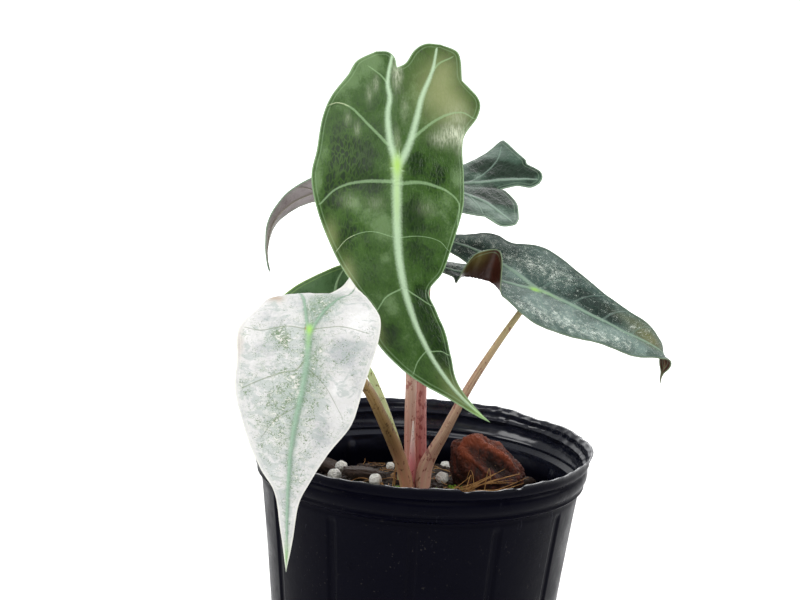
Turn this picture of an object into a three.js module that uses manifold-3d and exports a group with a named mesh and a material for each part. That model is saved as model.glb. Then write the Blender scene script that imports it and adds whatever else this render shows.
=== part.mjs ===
// Potted variegated alocasia: a thin black nursery pot filled with chunky potting mix,
// and one small aroid with five arrow shaped leaves on slender petioles.
// Millimetres, Z up. The origin is the middle of the pot's flat base.
import * as THREE from 'three';
import * as BufferGeometryUtils from 'three/addons/utils/BufferGeometryUtils.js';
import Module from 'manifold-3d';

const wasm = await Module();
wasm.setup();

// Pot
const POT_HEIGHT = 140;
const RIM_RADIUS = 74.6;
const COLLAR_RADIUS = 72;
const BODY_TOP_RADIUS = 70;
const BASE_RADIUS = 55.5;
const POT_WALL = 1.3;
const POT_FLOOR = 2.2;
const FLUTE_COUNT = 12;
const FLUTE_PHASE = -92;
const FLUTE_DEPTH = 0.8;
const DRAIN_HOLES = 8;
const DRAIN_RADIUS = 5;
const DRAIN_RING_RADIUS = 44;

// Potting mix
const MIX_CENTRE_HEIGHT = 119;
const MIX_EDGE_HEIGHT = 108;
const MIX_GAP = 0.4;
const SOCKET_GAP = 0.35;

// Leaves
const BLADE_THICKNESS = 0.8;
const BLADE_COLUMNS = 4;
const LOBE_ROWS = 7;
const BLADE_ROWS = 15;
const PETIOLE_SIDES = 12;
const STEM_HOLE_DEPTH = 16;
const JOINT_GAP = 0.8;

const rad = THREE.MathUtils.degToRad;

// A smooth curve through keys given as rows of [station, value, value, ...]
function keyed(rows, station, column) {
  const last = rows.length - 1;
  const s = Math.min(Math.max(station, rows[0][0]), rows[last][0]);
  let i = 0;
  while (i < last - 1 && s > rows[i + 1][0]) i += 1;
  const rise = (j) => (rows[j + 1][column] - rows[j][column]) / (rows[j + 1][0] - rows[j][0]);
  const slope = (j) => {
    if (j === 0) return rise(0);
    if (j === last) return rise(last - 1);
    const before = rows[j][0] - rows[j - 1][0];
    const after = rows[j + 1][0] - rows[j][0];
    return (rise(j - 1) * after + rise(j) * before) / (before + after);
  };
  const h = rows[i + 1][0] - rows[i][0];
  const t = (s - rows[i][0]) / h;
  const a = (2 * t - 3) * t * t + 1;
  const b = ((t - 2) * t + 1) * t * h;
  const c = (3 - 2 * t) * t * t;
  const d = (t - 1) * t * t * h;
  return a * rows[i][column] + b * slope(i) + c * rows[i + 1][column] + d * slope(i + 1);
}

// Closed body from points and triangles, cleaned so that flat shared corners become one
function solid(points, faces) {
  const geometry = new THREE.BufferGeometry();
  geometry.setAttribute('position', new THREE.Float32BufferAttribute(points.flat(), 3));
  geometry.setIndex(faces.flat());
  return geometry;
}

function toManifold(geometry) {
  const bare = geometry.clone();
  bare.deleteAttribute('normal');
  bare.deleteAttribute('uv');
  const merged = BufferGeometryUtils.mergeVertices(bare, 1e-4);
  const mesh = new wasm.Mesh({
    numProp: 3,
    vertProperties: new Float32Array(merged.attributes.position.array),
    triVerts: new Uint32Array(merged.index.array),
  });
  return new wasm.Manifold(mesh);
}

function fromManifold(body) {
  const mesh = body.getMesh();
  const geometry = new THREE.BufferGeometry();
  const corners = new Float32Array(mesh.vertProperties);
  geometry.setAttribute('position', new THREE.Float32BufferAttribute(corners, mesh.numProp));
  geometry.setIndex(Array.from(mesh.triVerts));
  return geometry;
}

const group = new THREE.Group();
group.name = 'potted_variegated_alocasia';

function addNode(name, geometry, color, roughness) {
  geometry.computeVertexNormals();
  const material = new THREE.MeshStandardMaterial({ color, roughness, metalness: 0 });
  material.name = name;
  const mesh = new THREE.Mesh(geometry, material);
  mesh.name = name;
  group.add(mesh);
  return mesh;
}

// Repeatable small unevenness for hand sized natural things
function ripple(a, b, seed) {
  return Math.sin(a * 3.1 + seed) * 0.5 + Math.sin(b * 4.7 + seed * 1.7) * 0.3
    + Math.sin((a + b) * 7.3 + seed * 2.3) * 0.2;
}

// The leaf blade
//
// Every leaf is drawn flat first. Its outline has points [along, across, lift]: along is
// measured on the midrib from the place where the petiole joins, negative into the lobes,
// and lift raises the waved margin. The flat leaf is then bent along its midrib and folded
// across it. Side 0 lies to the left when looking from the joint to the tip.

function bendAxis(leaf) {
  const [heading, pitch, roll] = leaf.aim.map(rad);
  const start = new THREE.Matrix4().makeRotationZ(heading);
  start.multiply(new THREE.Matrix4().makeRotationY(-pitch));
  start.multiply(new THREE.Matrix4().makeRotationX(roll));
  const frameAt = (s) => {
    const turn = start.clone();
    turn.multiply(new THREE.Matrix4().makeRotationZ(rad(keyed(leaf.axis, s, 1))));
    turn.multiply(new THREE.Matrix4().makeRotationY(-rad(keyed(leaf.axis, s, 2))));
    turn.multiply(new THREE.Matrix4().makeRotationX(rad(keyed(leaf.axis, s, 3))));
    const along = new THREE.Vector3();
    const across = new THREE.Vector3();
    const up = new THREE.Vector3();
    turn.extractBasis(along, across, up);
    return { along, across, up };
  };
  const first = Math.floor(leaf.axis[0][0]);
  const last = Math.ceil(leaf.axis[leaf.axis.length - 1][0]);
  const centres = new Map([[0, new THREE.Vector3(...leaf.joint)]]);
  for (let s = 0; s < last; s += 1) {
    centres.set(s + 1, centres.get(s).clone().add(frameAt(s + 0.5).along));
  }
  for (let s = 0; s > first; s -= 1) {
    centres.set(s - 1, centres.get(s).clone().sub(frameAt(s - 0.5).along));
  }
  return { frameAt, centres };
}

function placeOnBlade(leaf, bend, side, [s, t, lift]) {
  const { along, across, up } = bend.frameAt(s);
  const below = bend.centres.get(Math.floor(s));
  const above = bend.centres.get(Math.ceil(s));
  const centre = below.clone().lerp(above, s - Math.floor(s));
  const fold = rad(keyed(leaf.fold[side], s, 1));
  const outward = side === 0 ? 1 : -1;
  const flap = leaf.flap && leaf.flap.side === side ? leaf.flap.rows : [[0, t, 0], [1, t, 0]];
  const flat = Math.min(t, keyed(flap, s, 1));
  const turned = rad(keyed(flap, s, 2));
  const out = flat + (t - flat) * Math.cos(turned);
  const rise = lift + (t - flat) * Math.sin(turned);
  centre.addScaledVector(across, outward * (Math.cos(fold) * out - Math.sin(fold) * rise));
  centre.addScaledVector(up, Math.sin(fold) * out + Math.cos(fold) * rise);
  return centre;
}

// Evenly spaced points on a smooth line through outline points
function evenly(points, count) {
  const curve = new THREE.CatmullRomCurve3(
    points.map(([s, t, lift = 0]) => new THREE.Vector3(s, t, lift)),
    false,
    'catmullrom',
    0.5,
  );
  return curve.getSpacedPoints(count).map((p) => [p.x, p.y, p.z]);
}

// Rows of flat points on one half of the blade, each row running from midrib to margin
function halfRows(leaf, side) {
  const outline = leaf.outline[side];
  const turnAt = outline.findIndex((point) => point[0] > -leaf.sinus);
  const lobeMargin = evenly(outline.slice(0, turnAt + 1), LOBE_ROWS);
  const longMargin = evenly(outline.slice(turnAt), BLADE_ROWS);
  const lobeInner = evenly([outline[0], ...leaf.notch[side], [-leaf.sinus, 0, 0]], LOBE_ROWS);
  const tip = outline[outline.length - 1][0];
  const rows = [];
  for (let i = 0; i < LOBE_ROWS; i += 1) rows.push([lobeInner[i], lobeMargin[i]]);
  for (let i = 0; i <= BLADE_ROWS; i += 1) {
    const onMidrib = [-leaf.sinus + (tip + leaf.sinus) * (i / BLADE_ROWS), 0, 0];
    rows.push([onMidrib, longMargin[i]]);
  }
  return rows.map(([inner, outer]) => {
    const row = [];
    for (let j = 0; j <= BLADE_COLUMNS; j += 1) {
      const f = j / BLADE_COLUMNS;
      const lift = inner[2] * (1 - f) + outer[2] * f * f;
      row.push([inner[0] + (outer[0] - inner[0]) * f, inner[1] + (outer[1] - inner[1]) * f, lift]);
    }
    return row;
  });
}

// A sheet of even thickness, with the same triangles on its upper and lower face
function thicken(points, faces, thickness) {
  const normals = points.map(() => new THREE.Vector3());
  const edges = new Map();
  for (const [a, b, c] of faces) {
    const ab = points[b].clone().sub(points[a]);
    const ac = points[c].clone().sub(points[a]);
    const normal = ab.cross(ac);
    for (const v of [a, b, c]) normals[v].add(normal);
    for (const [u, v] of [[a, b], [b, c], [c, a]]) {
      if (!edges.delete(`${v}_${u}`)) edges.set(`${u}_${v}`, [u, v]);
    }
  }
  const count = points.length;
  const all = [];
  for (const half of [thickness / 2, -thickness / 2]) {
    points.forEach((p, i) => {
      all.push(p.clone().addScaledVector(normals[i].clone().normalize(), half).toArray());
    });
  }
  const closed = faces.map(([a, b, c]) => [a, b, c]);
  for (const [a, b, c] of faces) closed.push([a + count, c + count, b + count]);
  for (const [u, v] of edges.values()) {
    closed.push([u, u + count, v + count]);
    closed.push([u, v + count, v]);
  }
  return solid(all, closed);
}

function bladeGeometry(leaf) {
  const bend = bendAxis(leaf);
  const points = [];
  const seen = new Map();
  const corner = (side, flat) => {
    const onMidrib = flat[1] < 1e-6;
    const key = `${onMidrib ? 'm' : side}_${flat[0].toFixed(3)}_${flat[1].toFixed(3)}`;
    if (!seen.has(key)) {
      seen.set(key, points.length);
      points.push(placeOnBlade(leaf, bend, side, flat));
    }
    return seen.get(key);
  };
  const faces = [];
  for (const side of [0, 1]) {
    const grid = halfRows(leaf, side).map((row) => row.map((flat) => corner(side, flat)));
    for (let i = 0; i < grid.length - 1; i += 1) {
      for (let j = 0; j < BLADE_COLUMNS; j += 1) {
        const quad = [grid[i][j], grid[i + 1][j], grid[i + 1][j + 1], grid[i][j + 1]];
        const halves = [[quad[0], quad[1], quad[2]], [quad[0], quad[2], quad[3]]];
        for (const [a, b, c] of halves) {
          if (a !== b && b !== c && c !== a) faces.push(side === 0 ? [a, b, c] : [a, c, b]);
        }
      }
    }
  }
  return thicken(points, faces, BLADE_THICKNESS);
}

// The main leaf faces the viewer and hangs from its joint, with a long tip drawn to one side
const mainLeaf = {
  joint: [-18.3, -12, 263.8],
  aim: [-92, -58, -10],
  axis: [[-60, 4, 6, 0], [-30, 4, 3, 0], [0, 4, 0, 0], [32, 7, -3, 0], [64, 23, -7, 0],
    [97, 44, -10, 0], [124, 65, -14, 0]],
  fold: [[[-60, -8], [0, -10], [124, -4]], [[-60, -8], [0, -10], [124, -4]]],
  sinus: 45,
  notch: [[[-59, 13], [-55, 8], [-48, 4]], [[-53, 4], [-50, 1]]],
  outline: [
    [[-60, 20, 0], [-56, 28, 1], [-44, 30, -1], [-35, 37, 1], [-26, 36, 2], [-15, 30, 0],
      [1, 31, -2], [16, 30, 0], [33, 25, 2], [50, 19, 0], [59, 11, -1], [69, 11, 0],
      [80, 11, 0], [91, 8, 0], [103, 3, 0], [124, 0, 0]],
    [[-53, 9, 0], [-48, 17, 1], [-41, 21, 1], [-32, 28, -1], [-21, 32, -1], [-5, 34, 1],
      [8, 36, 2], [23, 33, 0], [40, 26, -2], [54, 19, 0], [63, 15, 1], [72, 18, 1],
      [84, 14, 0], [95, 9, 0], [106, 4, 0], [124, 0, 0]],
  ],
};

// The flecked leaf reaches to the right. The margin of its nearer lobe is folded over, which
// the flap rows give as [along, distance from midrib to crease, fold angle].
const fleckLeaf = {
  joint: [44, 2, 210],
  aim: [-18, -20, 19],
  axis: [[-50, 7, 12, 0], [-25, 7, 5, 0], [0, 7, 0, 0], [20, 5, -3, 0], [42, 11, -8, 0],
    [58, 12, -14, 0], [63, 11, -34, -15], [66, 8, -64, -50], [70, 4, -82, -80], [75, 0, -84, -80],
    [79, -10, -66, -80]],
  fold: [[[-50, 7], [0, 7], [79, 4]], [[-50, 7], [0, 7], [79, 4]]],
  flap: {
    side: 1,
    rows: [[-50, 14, 0], [-30, 14, 0], [-27.5, 11.5, 100], [-24.5, 10.5, 122], [-18, 9, 125],
      [-13, 13, 75], [-9, 19, 0], [79, 27, 0]],
  },
  sinus: 30,
  notch: [[[-42, 5], [-36, 3]], [[-41, 4], [-36, 2]]],
  outline: [
    [[-49, 8, 0], [-46, 14, 0], [-37, 19.5, 0], [-30, 24, 0], [-24, 25, 0], [-17, 23.5, 0],
      [-5, 28, 0], [6, 25.5, 0], [19, 20.5, 0], [32, 16.5, 0], [45, 14, 0], [55, 10, 0],
      [62, 6, 0], [66, 4, 0], [70, 2.4, 0], [73.5, 0.8, 0], [79, 0, 0]],
    [[-47, 7, 0], [-43, 11, 0], [-38, 14, 0], [-33, 15.5, 0], [-29.5, 20, 0], [-22, 24, 0],
      [-15, 21, 0], [-10, 18, 0], [-4, 21.5, 0], [1, 25.5, 0], [9, 28.5, 0], [21, 26.5, 0],
      [34, 19.5, 0], [46, 15.5, 0], [55, 11, 0], [62, 6.5, 0], [66, 4, 0], [70, 2.4, 0],
      [73.5, 0.8, 0], [79, 0, 0]],
  ],
};

// The white leaf hangs over the front of the rim, with its lobes bent back
const whiteLeaf = {
  joint: [-49.2, -70, 202.2],
  aim: [-97, -68, 0],
  axis: [[-34, 2, 105, 0], [-16, 2, 52, 0], [-4, 2, 6, 0], [10, 1, -2, 0], [28, -7, -6, 0],
    [56, 0, -12, 0], [84, 3, -16, 0], [99, 2, -18, 0]],
  fold: [[[-34, -8], [0, -8], [99, -4]], [[-34, -8], [0, -8], [99, -4]]],
  sinus: 20,
  notch: [[[-30, 8.5, 4.5], [-27, 5, 0.5], [-23, 2, 0]], [[-24, 5]]],
  outline: [
    [[-31, 10.5, 9.5], [-29.5, 14.5, 5.5], [-26, 18, 3], [-17, 23.5, 1], [-8, 28, 0], [3, 28, 0],
      [20, 24, 0], [35, 22, 0], [49, 15, 0], [61, 9, 0], [71, 4.5, 0], [85, 2.5, 0], [99, 0, 0]],
    [[-27, 12, 0], [-19, 19, 0], [-10, 23, 0], [1, 30, 0], [14, 29.5, 0], [30, 28, 0],
      [45, 20, 0], [58, 12, 0], [67, 5.5, 0], [83, 2.5, 0], [99, 0, 0]],
  ],
};

// The back leaf points away to the left and turns over towards its hanging tip
const backLeaf = {
  joint: [0, 35, 247],
  aim: [168, -3, -10],
  axis: [[-55, 0, 0, -20], [-25, 0, 0, -14], [0, 0, 0, 0], [26, 0, -3, 20], [52, 5, -12, 40],
    [72, 22, -38, 50], [88, 46, -74, 50], [105, 68, -104, 50]],
  fold: [[[-55, 5], [0, 5], [105, 4]], [[-55, 5], [0, 5], [105, 4]]],
  sinus: 29,
  notch: [[[-38, 11.5], [-32, 2.5]], [[-42, 2], [-35.5, 3]]],
  outline: [
    [[-41, 24, 0], [-40, 29, 0], [-34, 31, 0], [-26, 26, 0], [-15, 27, 0], [0, 28, 0],
      [20, 28, 0], [40, 20, 0], [56, 12, 0], [70, 7, 0], [84, 4, 0], [105, 0, 0]],
    [[-45.5, 5, 0], [-46.3, 8.5, 0], [-45, 12.5, 0], [-41.5, 15.5, 0], [-38, 18, 0], [-36.8, 21, 0],
      [-33, 25.5, 0], [-29, 30.5, 0], [-26, 34.5, 0], [-23, 37, 0], [-17, 29, 0], [-8, 22, 0],
      [4, 21, 0], [20, 25, 0], [40, 19, 0], [56, 11, 0], [70, 7, 0], [84, 4, 0], [105, 0, 0]],
  ],
};

// The small left leaf sits behind the white one
const leftLeaf = {
  joint: [-43, 5, 189.5],
  aim: [-130, -42, -36],
  axis: [[-30, 0, 0, 0], [0, 0, 0, 0], [20, 0, -3, 0], [40, 0, -8, 0], [62, 0, -12, 0]],
  fold: [[[-30, 5], [0, 5], [62, 4]], [[-30, 5], [0, 5], [62, 4]]],
  sinus: 18,
  notch: [[[-23, 3]], [[-23, 3]]],
  outline: [
    [[-28, 8, 0], [-24, 13, 0], [-15, 15, 0], [-5, 17, 0], [8, 17, 0], [22, 14, 0],
      [36, 9, 0], [50, 4, 0], [62, 0, 0]],
    [[-28, 8, 0], [-24, 12, 0], [-15, 17, 0], [-4, 22, 0], [8, 24, 0], [22, 20, 0],
      [36, 12, 0], [50, 5, 0], [62, 0, 0]],
  ],
};

addNode('blade_main', bladeGeometry(mainLeaf), 0x3f6a30, 0.45);
addNode('blade_flecked', bladeGeometry(fleckLeaf), 0x3c5450, 0.45);
addNode('blade_white', bladeGeometry(whiteLeaf), 0xe6dcda, 0.5);
addNode('blade_back', bladeGeometry(backLeaf), 0x3a4f44, 0.45);
addNode('blade_left', bladeGeometry(leftLeaf), 0x2f4a34, 0.45);

// A round stalk along a smooth path, given as rows of [x, y, z, radius]
function stalk(rows, sides, steps, extra = 0) {
  const curve = new THREE.CatmullRomCurve3(
    rows.map(([x, y, z]) => new THREE.Vector3(x, y, z)),
    false,
    'catmullrom',
    0.5,
  );
  const frames = curve.computeFrenetFrames(steps, false);
  const points = [];
  for (let i = 0; i <= steps; i += 1) {
    const centre = curve.getPointAt(i / steps);
    const place = curve.getUtoTmapping(i / steps) * (rows.length - 1);
    const k = Math.min(Math.floor(place), rows.length - 2);
    const radius = THREE.MathUtils.lerp(rows[k][3], rows[k + 1][3], place - k) + extra;
    for (let j = 0; j < sides; j += 1) {
      const turn = (j / sides) * Math.PI * 2;
      const p = centre.clone();
      p.addScaledVector(frames.normals[i], Math.cos(turn) * radius);
      p.addScaledVector(frames.binormals[i], Math.sin(turn) * radius);
      points.push(p.toArray());
    }
  }
  const faces = [];
  for (let i = 0; i < steps; i += 1) {
    for (let j = 0; j < sides; j += 1) {
      const a = i * sides + j;
      const b = i * sides + ((j + 1) % sides);
      faces.push([a, b, b + sides], [a, b + sides, a + sides]);
    }
  }
  for (const [ring, flip] of [[0, true], [steps, false]]) {
    const middle = points.length;
    points.push(curve.getPointAt(ring / steps).toArray());
    for (let j = 0; j < sides; j += 1) {
      const a = ring * sides + j;
      const b = ring * sides + ((j + 1) % sides);
      faces.push(flip ? [middle, b, a] : [middle, a, b]);
    }
  }
  return solid(points, faces);
}

// The petiole meets the blade squarely from below and stops just short of it
function reachJoint(leaf, rows, endRadius) {
  const { up, along } = bendAxis(leaf).frameAt(0);
  const joint = new THREE.Vector3(...leaf.joint);
  const end = joint.clone().addScaledVector(up, -BLADE_THICKNESS / 2 - JOINT_GAP);
  const knee = end.clone().addScaledVector(up, -3.2).addScaledVector(along, 0.4);
  return [...rows, [...knee.toArray(), endRadius], [...end.toArray(), endRadius]];
}

// Petioles, from their ends in the mix up to the blades
const petioles = {
  petiole_main: reachJoint(mainLeaf, [
    [-3.6, -0.2, 104, 2.3], [-4, -0.5, 121, 2.5], [-5.3, -1.2, 136, 2.5], [-6.1, -2, 152, 2.45],
    [-6.8, -2.5, 170, 2.4], [-9, -3, 190, 2.2], [-12.2, -3, 216, 2], [-15.6, -3.5, 241, 1.8],
  ], 1.7),
  petiole_back: reachJoint(backLeaf, [
    [1, 3, 104, 2.3], [0.6, 3, 121, 2.5], [-0.2, 3.6, 132, 2.5], [-1.1, 4.6, 146, 2.45],
    [-1.9, 7, 163, 2.4], [-2.2, 12, 188, 2.1], [-2.2, 20, 213, 1.9], [-1.8, 27, 232, 1.7],
  ], 1.6),
  petiole_flecked: reachJoint(fleckLeaf, [
    [1.2, -6.7, 104, 3.1], [1.2, -6.7, 121, 3.4], [1.9, -6.6, 129, 3.3], [4.6, -6.5, 136, 2.8],
    [8.7, -6.2, 144, 2.4], [13, -5, 153.5, 2.1], [20, -3.5, 168, 1.8], [31, -1, 187, 1.5],
  ], 1.3),
  petiole_white: reachJoint(whiteLeaf, [
    [-5, -9.5, 104, 2.8], [-5.4, -9.5, 119, 3], [-8.6, -11, 131.2, 2.9], [-12, -14, 139.8, 2.8],
    [-18.2, -23.5, 155, 2.6], [-25.3, -36.5, 171, 2.3], [-36, -53, 187, 2],
  ], 1.8),
  petiole_left: reachJoint(leftLeaf, [
    [-7.6, 3, 104, 1.9], [-8, 2.8, 121, 2], [-9.6, 2, 131.5, 2], [-12.6, 1.4, 140.5, 1.9],
    [-19.8, 1, 158, 1.8], [-28, 1.5, 172.5, 1.7],
  ], 1.5),
};

// The pale sheath of the main leaf wraps the front of its petiole and ends in a point
const sheath = [
  [-3.4, -2.6, 108, 2], [-3.8, -3.6, 121, 2.1], [-4.2, -4.2, 134, 1.3], [-4.6, -4.2, 149, 0.3],
];

for (const [name, rows] of Object.entries(petioles)) {
  let geometry = stalk(rows, PETIOLE_SIDES, 18);
  if (name === 'petiole_main') {
    const wrap = toManifold(stalk(sheath, 10, 6));
    geometry = fromManifold(toManifold(geometry).add(wrap));
  }
  const [color, roughness] = {
    petiole_main: [0xb98a76, 0.5],
    petiole_back: [0xab6464, 0.5],
    petiole_flecked: [0x9a7a62, 0.5],
    petiole_white: [0x96784a, 0.5],
    petiole_left: [0xa6b870, 0.5],
  }[name];
  addNode(name, geometry, color, roughness);
}

// The pot wall from the base up to the rim, as rows of [height, radius, flute share]
const potWall = [
  [0, BASE_RADIUS - 1.5, 0], [1.5, BASE_RADIUS, 0], [5, BASE_RADIUS + 0.5, 1],
  [118, 69.4, 1], [121, 69.8, 0], [123.5, BODY_TOP_RADIUS, 0],
  [124.8, COLLAR_RADIUS, 0], [126.2, 71.6, 0], [127.6, 72.5, 0], [132.4, 73, 0],
  [133.6, 72.4, 0], [134.8, 73.4, 0], [138, 73.8, 0], [POT_HEIGHT, RIM_RADIUS, 0],
];

function potRadius(height) {
  return keyed(potWall, height, 1);
}

function potGeometry() {
  const angles = [];
  for (let k = 0; k < FLUTE_COUNT; k += 1) {
    for (const offset of [-1.7, -0.7, 0.7, 1.7, 8.3, 15, 21.7]) {
      angles.push([FLUTE_PHASE + (k * 360) / FLUTE_COUNT + offset, Math.abs(offset) < 1 ? 1 : 0]);
    }
  }
  const outer = potWall.map(([z, r, flute]) => [z, r, flute]);
  const inner = potWall.slice(2).reverse().map(([z, r, flute], i) => {
    return [i === 0 ? z : Math.max(z, POT_FLOOR), r - (i === 0 ? 0.9 : POT_WALL), flute];
  });
  inner[inner.length - 1] = [POT_FLOOR, BASE_RADIUS - POT_WALL, 0];
  const rings = [...outer, ...inner];
  const points = [];
  for (const [z, r, flute] of rings) {
    const nearRim = Math.max(0, (z - 134) / 6);
    for (const [angle, groove] of angles) {
      const turn = rad(angle);
      const wave = nearRim * (0.5 * Math.sin(turn * 5 + 1) + 0.35 * Math.sin(turn * 11 + 2));
      const radius = r - flute * groove * FLUTE_DEPTH + wave;
      const height = z + nearRim * (0.3 * Math.sin(turn * 7) + 0.25 * Math.sin(turn * 13 + 1) - 0.5);
      points.push([radius * Math.cos(turn), radius * Math.sin(turn), height]);
    }
  }
  const n = angles.length;
  const faces = [];
  for (let i = 0; i < rings.length - 1; i += 1) {
    for (let j = 0; j < n; j += 1) {
      const a = i * n + j;
      const b = i * n + ((j + 1) % n);
      faces.push([a, b, b + n], [a, b + n, a + n]);
    }
  }
  for (const [ring, z, flip] of [[0, 0, true], [rings.length - 1, POT_FLOOR, false]]) {
    const middle = points.length;
    points.push([0, 0, z]);
    for (let j = 0; j < n; j += 1) {
      const a = ring * n + j;
      const b = ring * n + ((j + 1) % n);
      faces.push(flip ? [middle, b, a] : [middle, a, b]);
    }
  }
  let body = toManifold(solid(points, faces));
  for (let k = 0; k < DRAIN_HOLES; k += 1) {
    const turn = rad((k * 360) / DRAIN_HOLES + 22.5);
    const drill = new THREE.CylinderGeometry(DRAIN_RADIUS, DRAIN_RADIUS, 3 * POT_FLOOR, 16);
    drill.rotateX(Math.PI / 2);
    drill.translate(DRAIN_RING_RADIUS * Math.cos(turn), DRAIN_RING_RADIUS * Math.sin(turn), 1);
    body = body.subtract(toManifold(drill));
  }
  return fromManifold(body);
}

addNode('pot', potGeometry(), 0x14151c, 0.42);

// Loose pieces lying in the mix, as rows of [x, y, z, turn, tilt, half sizes]
const beads = [
  [-35.5, 20, 119.5, 2.7], [-38, 9, 118.5, 3.1], [-19.6, -3, 121, 2.9], [-13.4, 20, 121, 1.9],
  [9.8, 6, 121, 2.9], [-46, -18, 115, 2.4], [24, -30, 117, 2.6], [48, -4, 114, 2.3],
  [12, 44, 115.5, 2.5],
];
const chips = [
  [-25, 8, 120.2, 24, 10, 10, 4.5, 2.6], [-42, 30, 116.5, -30, 8, 8, 5, 2.4],
  [6, -40, 116, 12, -6, 9, 5.5, 2.3], [47, 28, 115, 60, 12, 8, 5, 2.6],
  [-22, -42, 115.5, 70, 6, 7, 4.5, 2.2], [-3, 34, 118.5, -15, -8, 9, 4.5, 2.4],
];
const husk = [29, 6, 126, -8, 0, 16.5, 10, 15];

function beadGeometry([x, y, z, radius], extra = 0) {
  const geometry = BufferGeometryUtils.mergeVertices(bareIcosahedron(1), 1e-4);
  const p = geometry.attributes.position;
  for (let i = 0; i < p.count; i += 1) {
    const d = new THREE.Vector3().fromBufferAttribute(p, i);
    const size = radius * (1 + 0.07 * ripple(d.x * 2, d.y * 2 + d.z, x)) + extra;
    p.setXYZ(i, x + d.x * size, y + d.y * size, z + d.z * size * 0.94);
  }
  return geometry;
}

function bareIcosahedron(detail) {
  const geometry = new THREE.IcosahedronGeometry(1, detail);
  geometry.deleteAttribute('normal');
  geometry.deleteAttribute('uv');
  return geometry;
}

// Bark chips are flat lumps, squared off more than a pebble
function chipGeometry([x, y, z, turn, tilt, a, b, c], extra = 0) {
  const geometry = BufferGeometryUtils.mergeVertices(bareIcosahedron(1), 1e-4);
  const place = new THREE.Matrix4().makeTranslation(x, y, z);
  place.multiply(new THREE.Matrix4().makeRotationZ(rad(turn)));
  place.multiply(new THREE.Matrix4().makeRotationY(rad(tilt)));
  const p = geometry.attributes.position;
  const squared = (v) => Math.sign(v) * Math.abs(v) ** 0.7;
  for (let i = 0; i < p.count; i += 1) {
    const d = new THREE.Vector3().fromBufferAttribute(p, i);
    const bump = 1 + 0.09 * ripple(d.x * 1.6, d.y * 1.6 + d.z, x * 0.7);
    const q = new THREE.Vector3(
      squared(d.x) * (a * bump + extra),
      squared(d.y) * (b * bump + extra),
      squared(d.z) * (c * bump + extra),
    );
    q.applyMatrix4(place);
    p.setXYZ(i, q.x, q.y, q.z);
  }
  return geometry;
}

// The husk chunk stands on edge, ridged along its fibres and leaning to one side
function huskGeometry([x, y, z, turn, , a, b, c], extra = 0) {
  const geometry = BufferGeometryUtils.mergeVertices(bareIcosahedron(3), 1e-4);
  const place = new THREE.Matrix4().makeTranslation(x, y, z);
  place.multiply(new THREE.Matrix4().makeRotationZ(rad(turn)));
  const p = geometry.attributes.position;
  for (let i = 0; i < p.count; i += 1) {
    const d = new THREE.Vector3().fromBufferAttribute(p, i);
    const ridge = 0.05 * Math.sin(d.x * 11 + d.z * 4) * (1 - d.y * 0.5);
    const bump = 1 + ridge + 0.07 * ripple(d.x * 1.4, d.z * 1.4, 2);
    const q = new THREE.Vector3(
      d.x * (a * bump + extra) - d.z * 3,
      d.y * (b * bump + extra),
      d.z * (c * bump * (1 - 0.22 * d.x) + extra),
    );
    q.applyMatrix4(place);
    p.setXYZ(i, q.x, q.y, q.z);
  }
  return geometry;
}

// The potting mix is a low lumpy mound that fills the pot
function mixGeometry() {
  const segments = 42;
  const inset = POT_WALL + FLUTE_DEPTH + MIX_GAP;
  const floor = POT_FLOOR + MIX_GAP;
  const rings = [[0, 0]];
  const rims = [0.15, 0.32, 0.49, 0.66, 0.83, 1];
  const edge = potRadius(MIX_EDGE_HEIGHT) - inset;
  const points = [[0, 0, MIX_CENTRE_HEIGHT]];
  for (const share of rims) {
    rings.push(share);
    for (let j = 0; j < segments; j += 1) {
      const turn = (j / segments) * Math.PI * 2;
      const r = share * edge;
      const [x, y] = [r * Math.cos(turn), r * Math.sin(turn)];
      const mound = MIX_CENTRE_HEIGHT - (MIX_CENTRE_HEIGHT - MIX_EDGE_HEIGHT) * share ** 2.2;
      const lump = share < 1 ? 1.3 * ripple(x * 0.13, y * 0.13, 5) : 0;
      points.push([x, y, mound + lump]);
    }
  }
  for (const height of [60, floor]) {
    for (let j = 0; j < segments; j += 1) {
      const turn = (j / segments) * Math.PI * 2;
      const r = potRadius(height) - inset;
      points.push([r * Math.cos(turn), r * Math.sin(turn), height]);
    }
  }
  const faces = [];
  for (let j = 0; j < segments; j += 1) faces.push([0, 1 + j, 1 + ((j + 1) % segments)]);
  for (let i = 0; i < rims.length + 1; i += 1) {
    for (let j = 0; j < segments; j += 1) {
      const a = 1 + i * segments + j;
      const b = 1 + i * segments + ((j + 1) % segments);
      faces.push([a, a + segments, b + segments], [a, b + segments, b]);
    }
  }
  const middle = points.length;
  points.push([0, 0, floor]);
  const lastRing = 1 + (rims.length + 1) * segments;
  for (let j = 0; j < segments; j += 1) {
    faces.push([middle, lastRing + ((j + 1) % segments), lastRing + j]);
  }
  return solid(points, faces);
}

let mix = toManifold(mixGeometry());
for (const rows of [...Object.values(petioles), sheath]) {
  const inMix = rows.filter(([, , z]) => z < 140);
  inMix[0] = [inMix[0][0], inMix[0][1], MIX_CENTRE_HEIGHT - STEM_HOLE_DEPTH, inMix[0][3]];
  mix = mix.subtract(toManifold(stalk(inMix, PETIOLE_SIDES, 4, 0.6)));
}
for (const bead of beads) mix = mix.subtract(toManifold(beadGeometry(bead, SOCKET_GAP)));
for (const chip of chips) mix = mix.subtract(toManifold(chipGeometry(chip, SOCKET_GAP)));
mix = mix.subtract(toManifold(huskGeometry(husk, SOCKET_GAP)));
addNode('potting_mix', fromManifold(mix), 0x2a1c12, 0.9);

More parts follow.
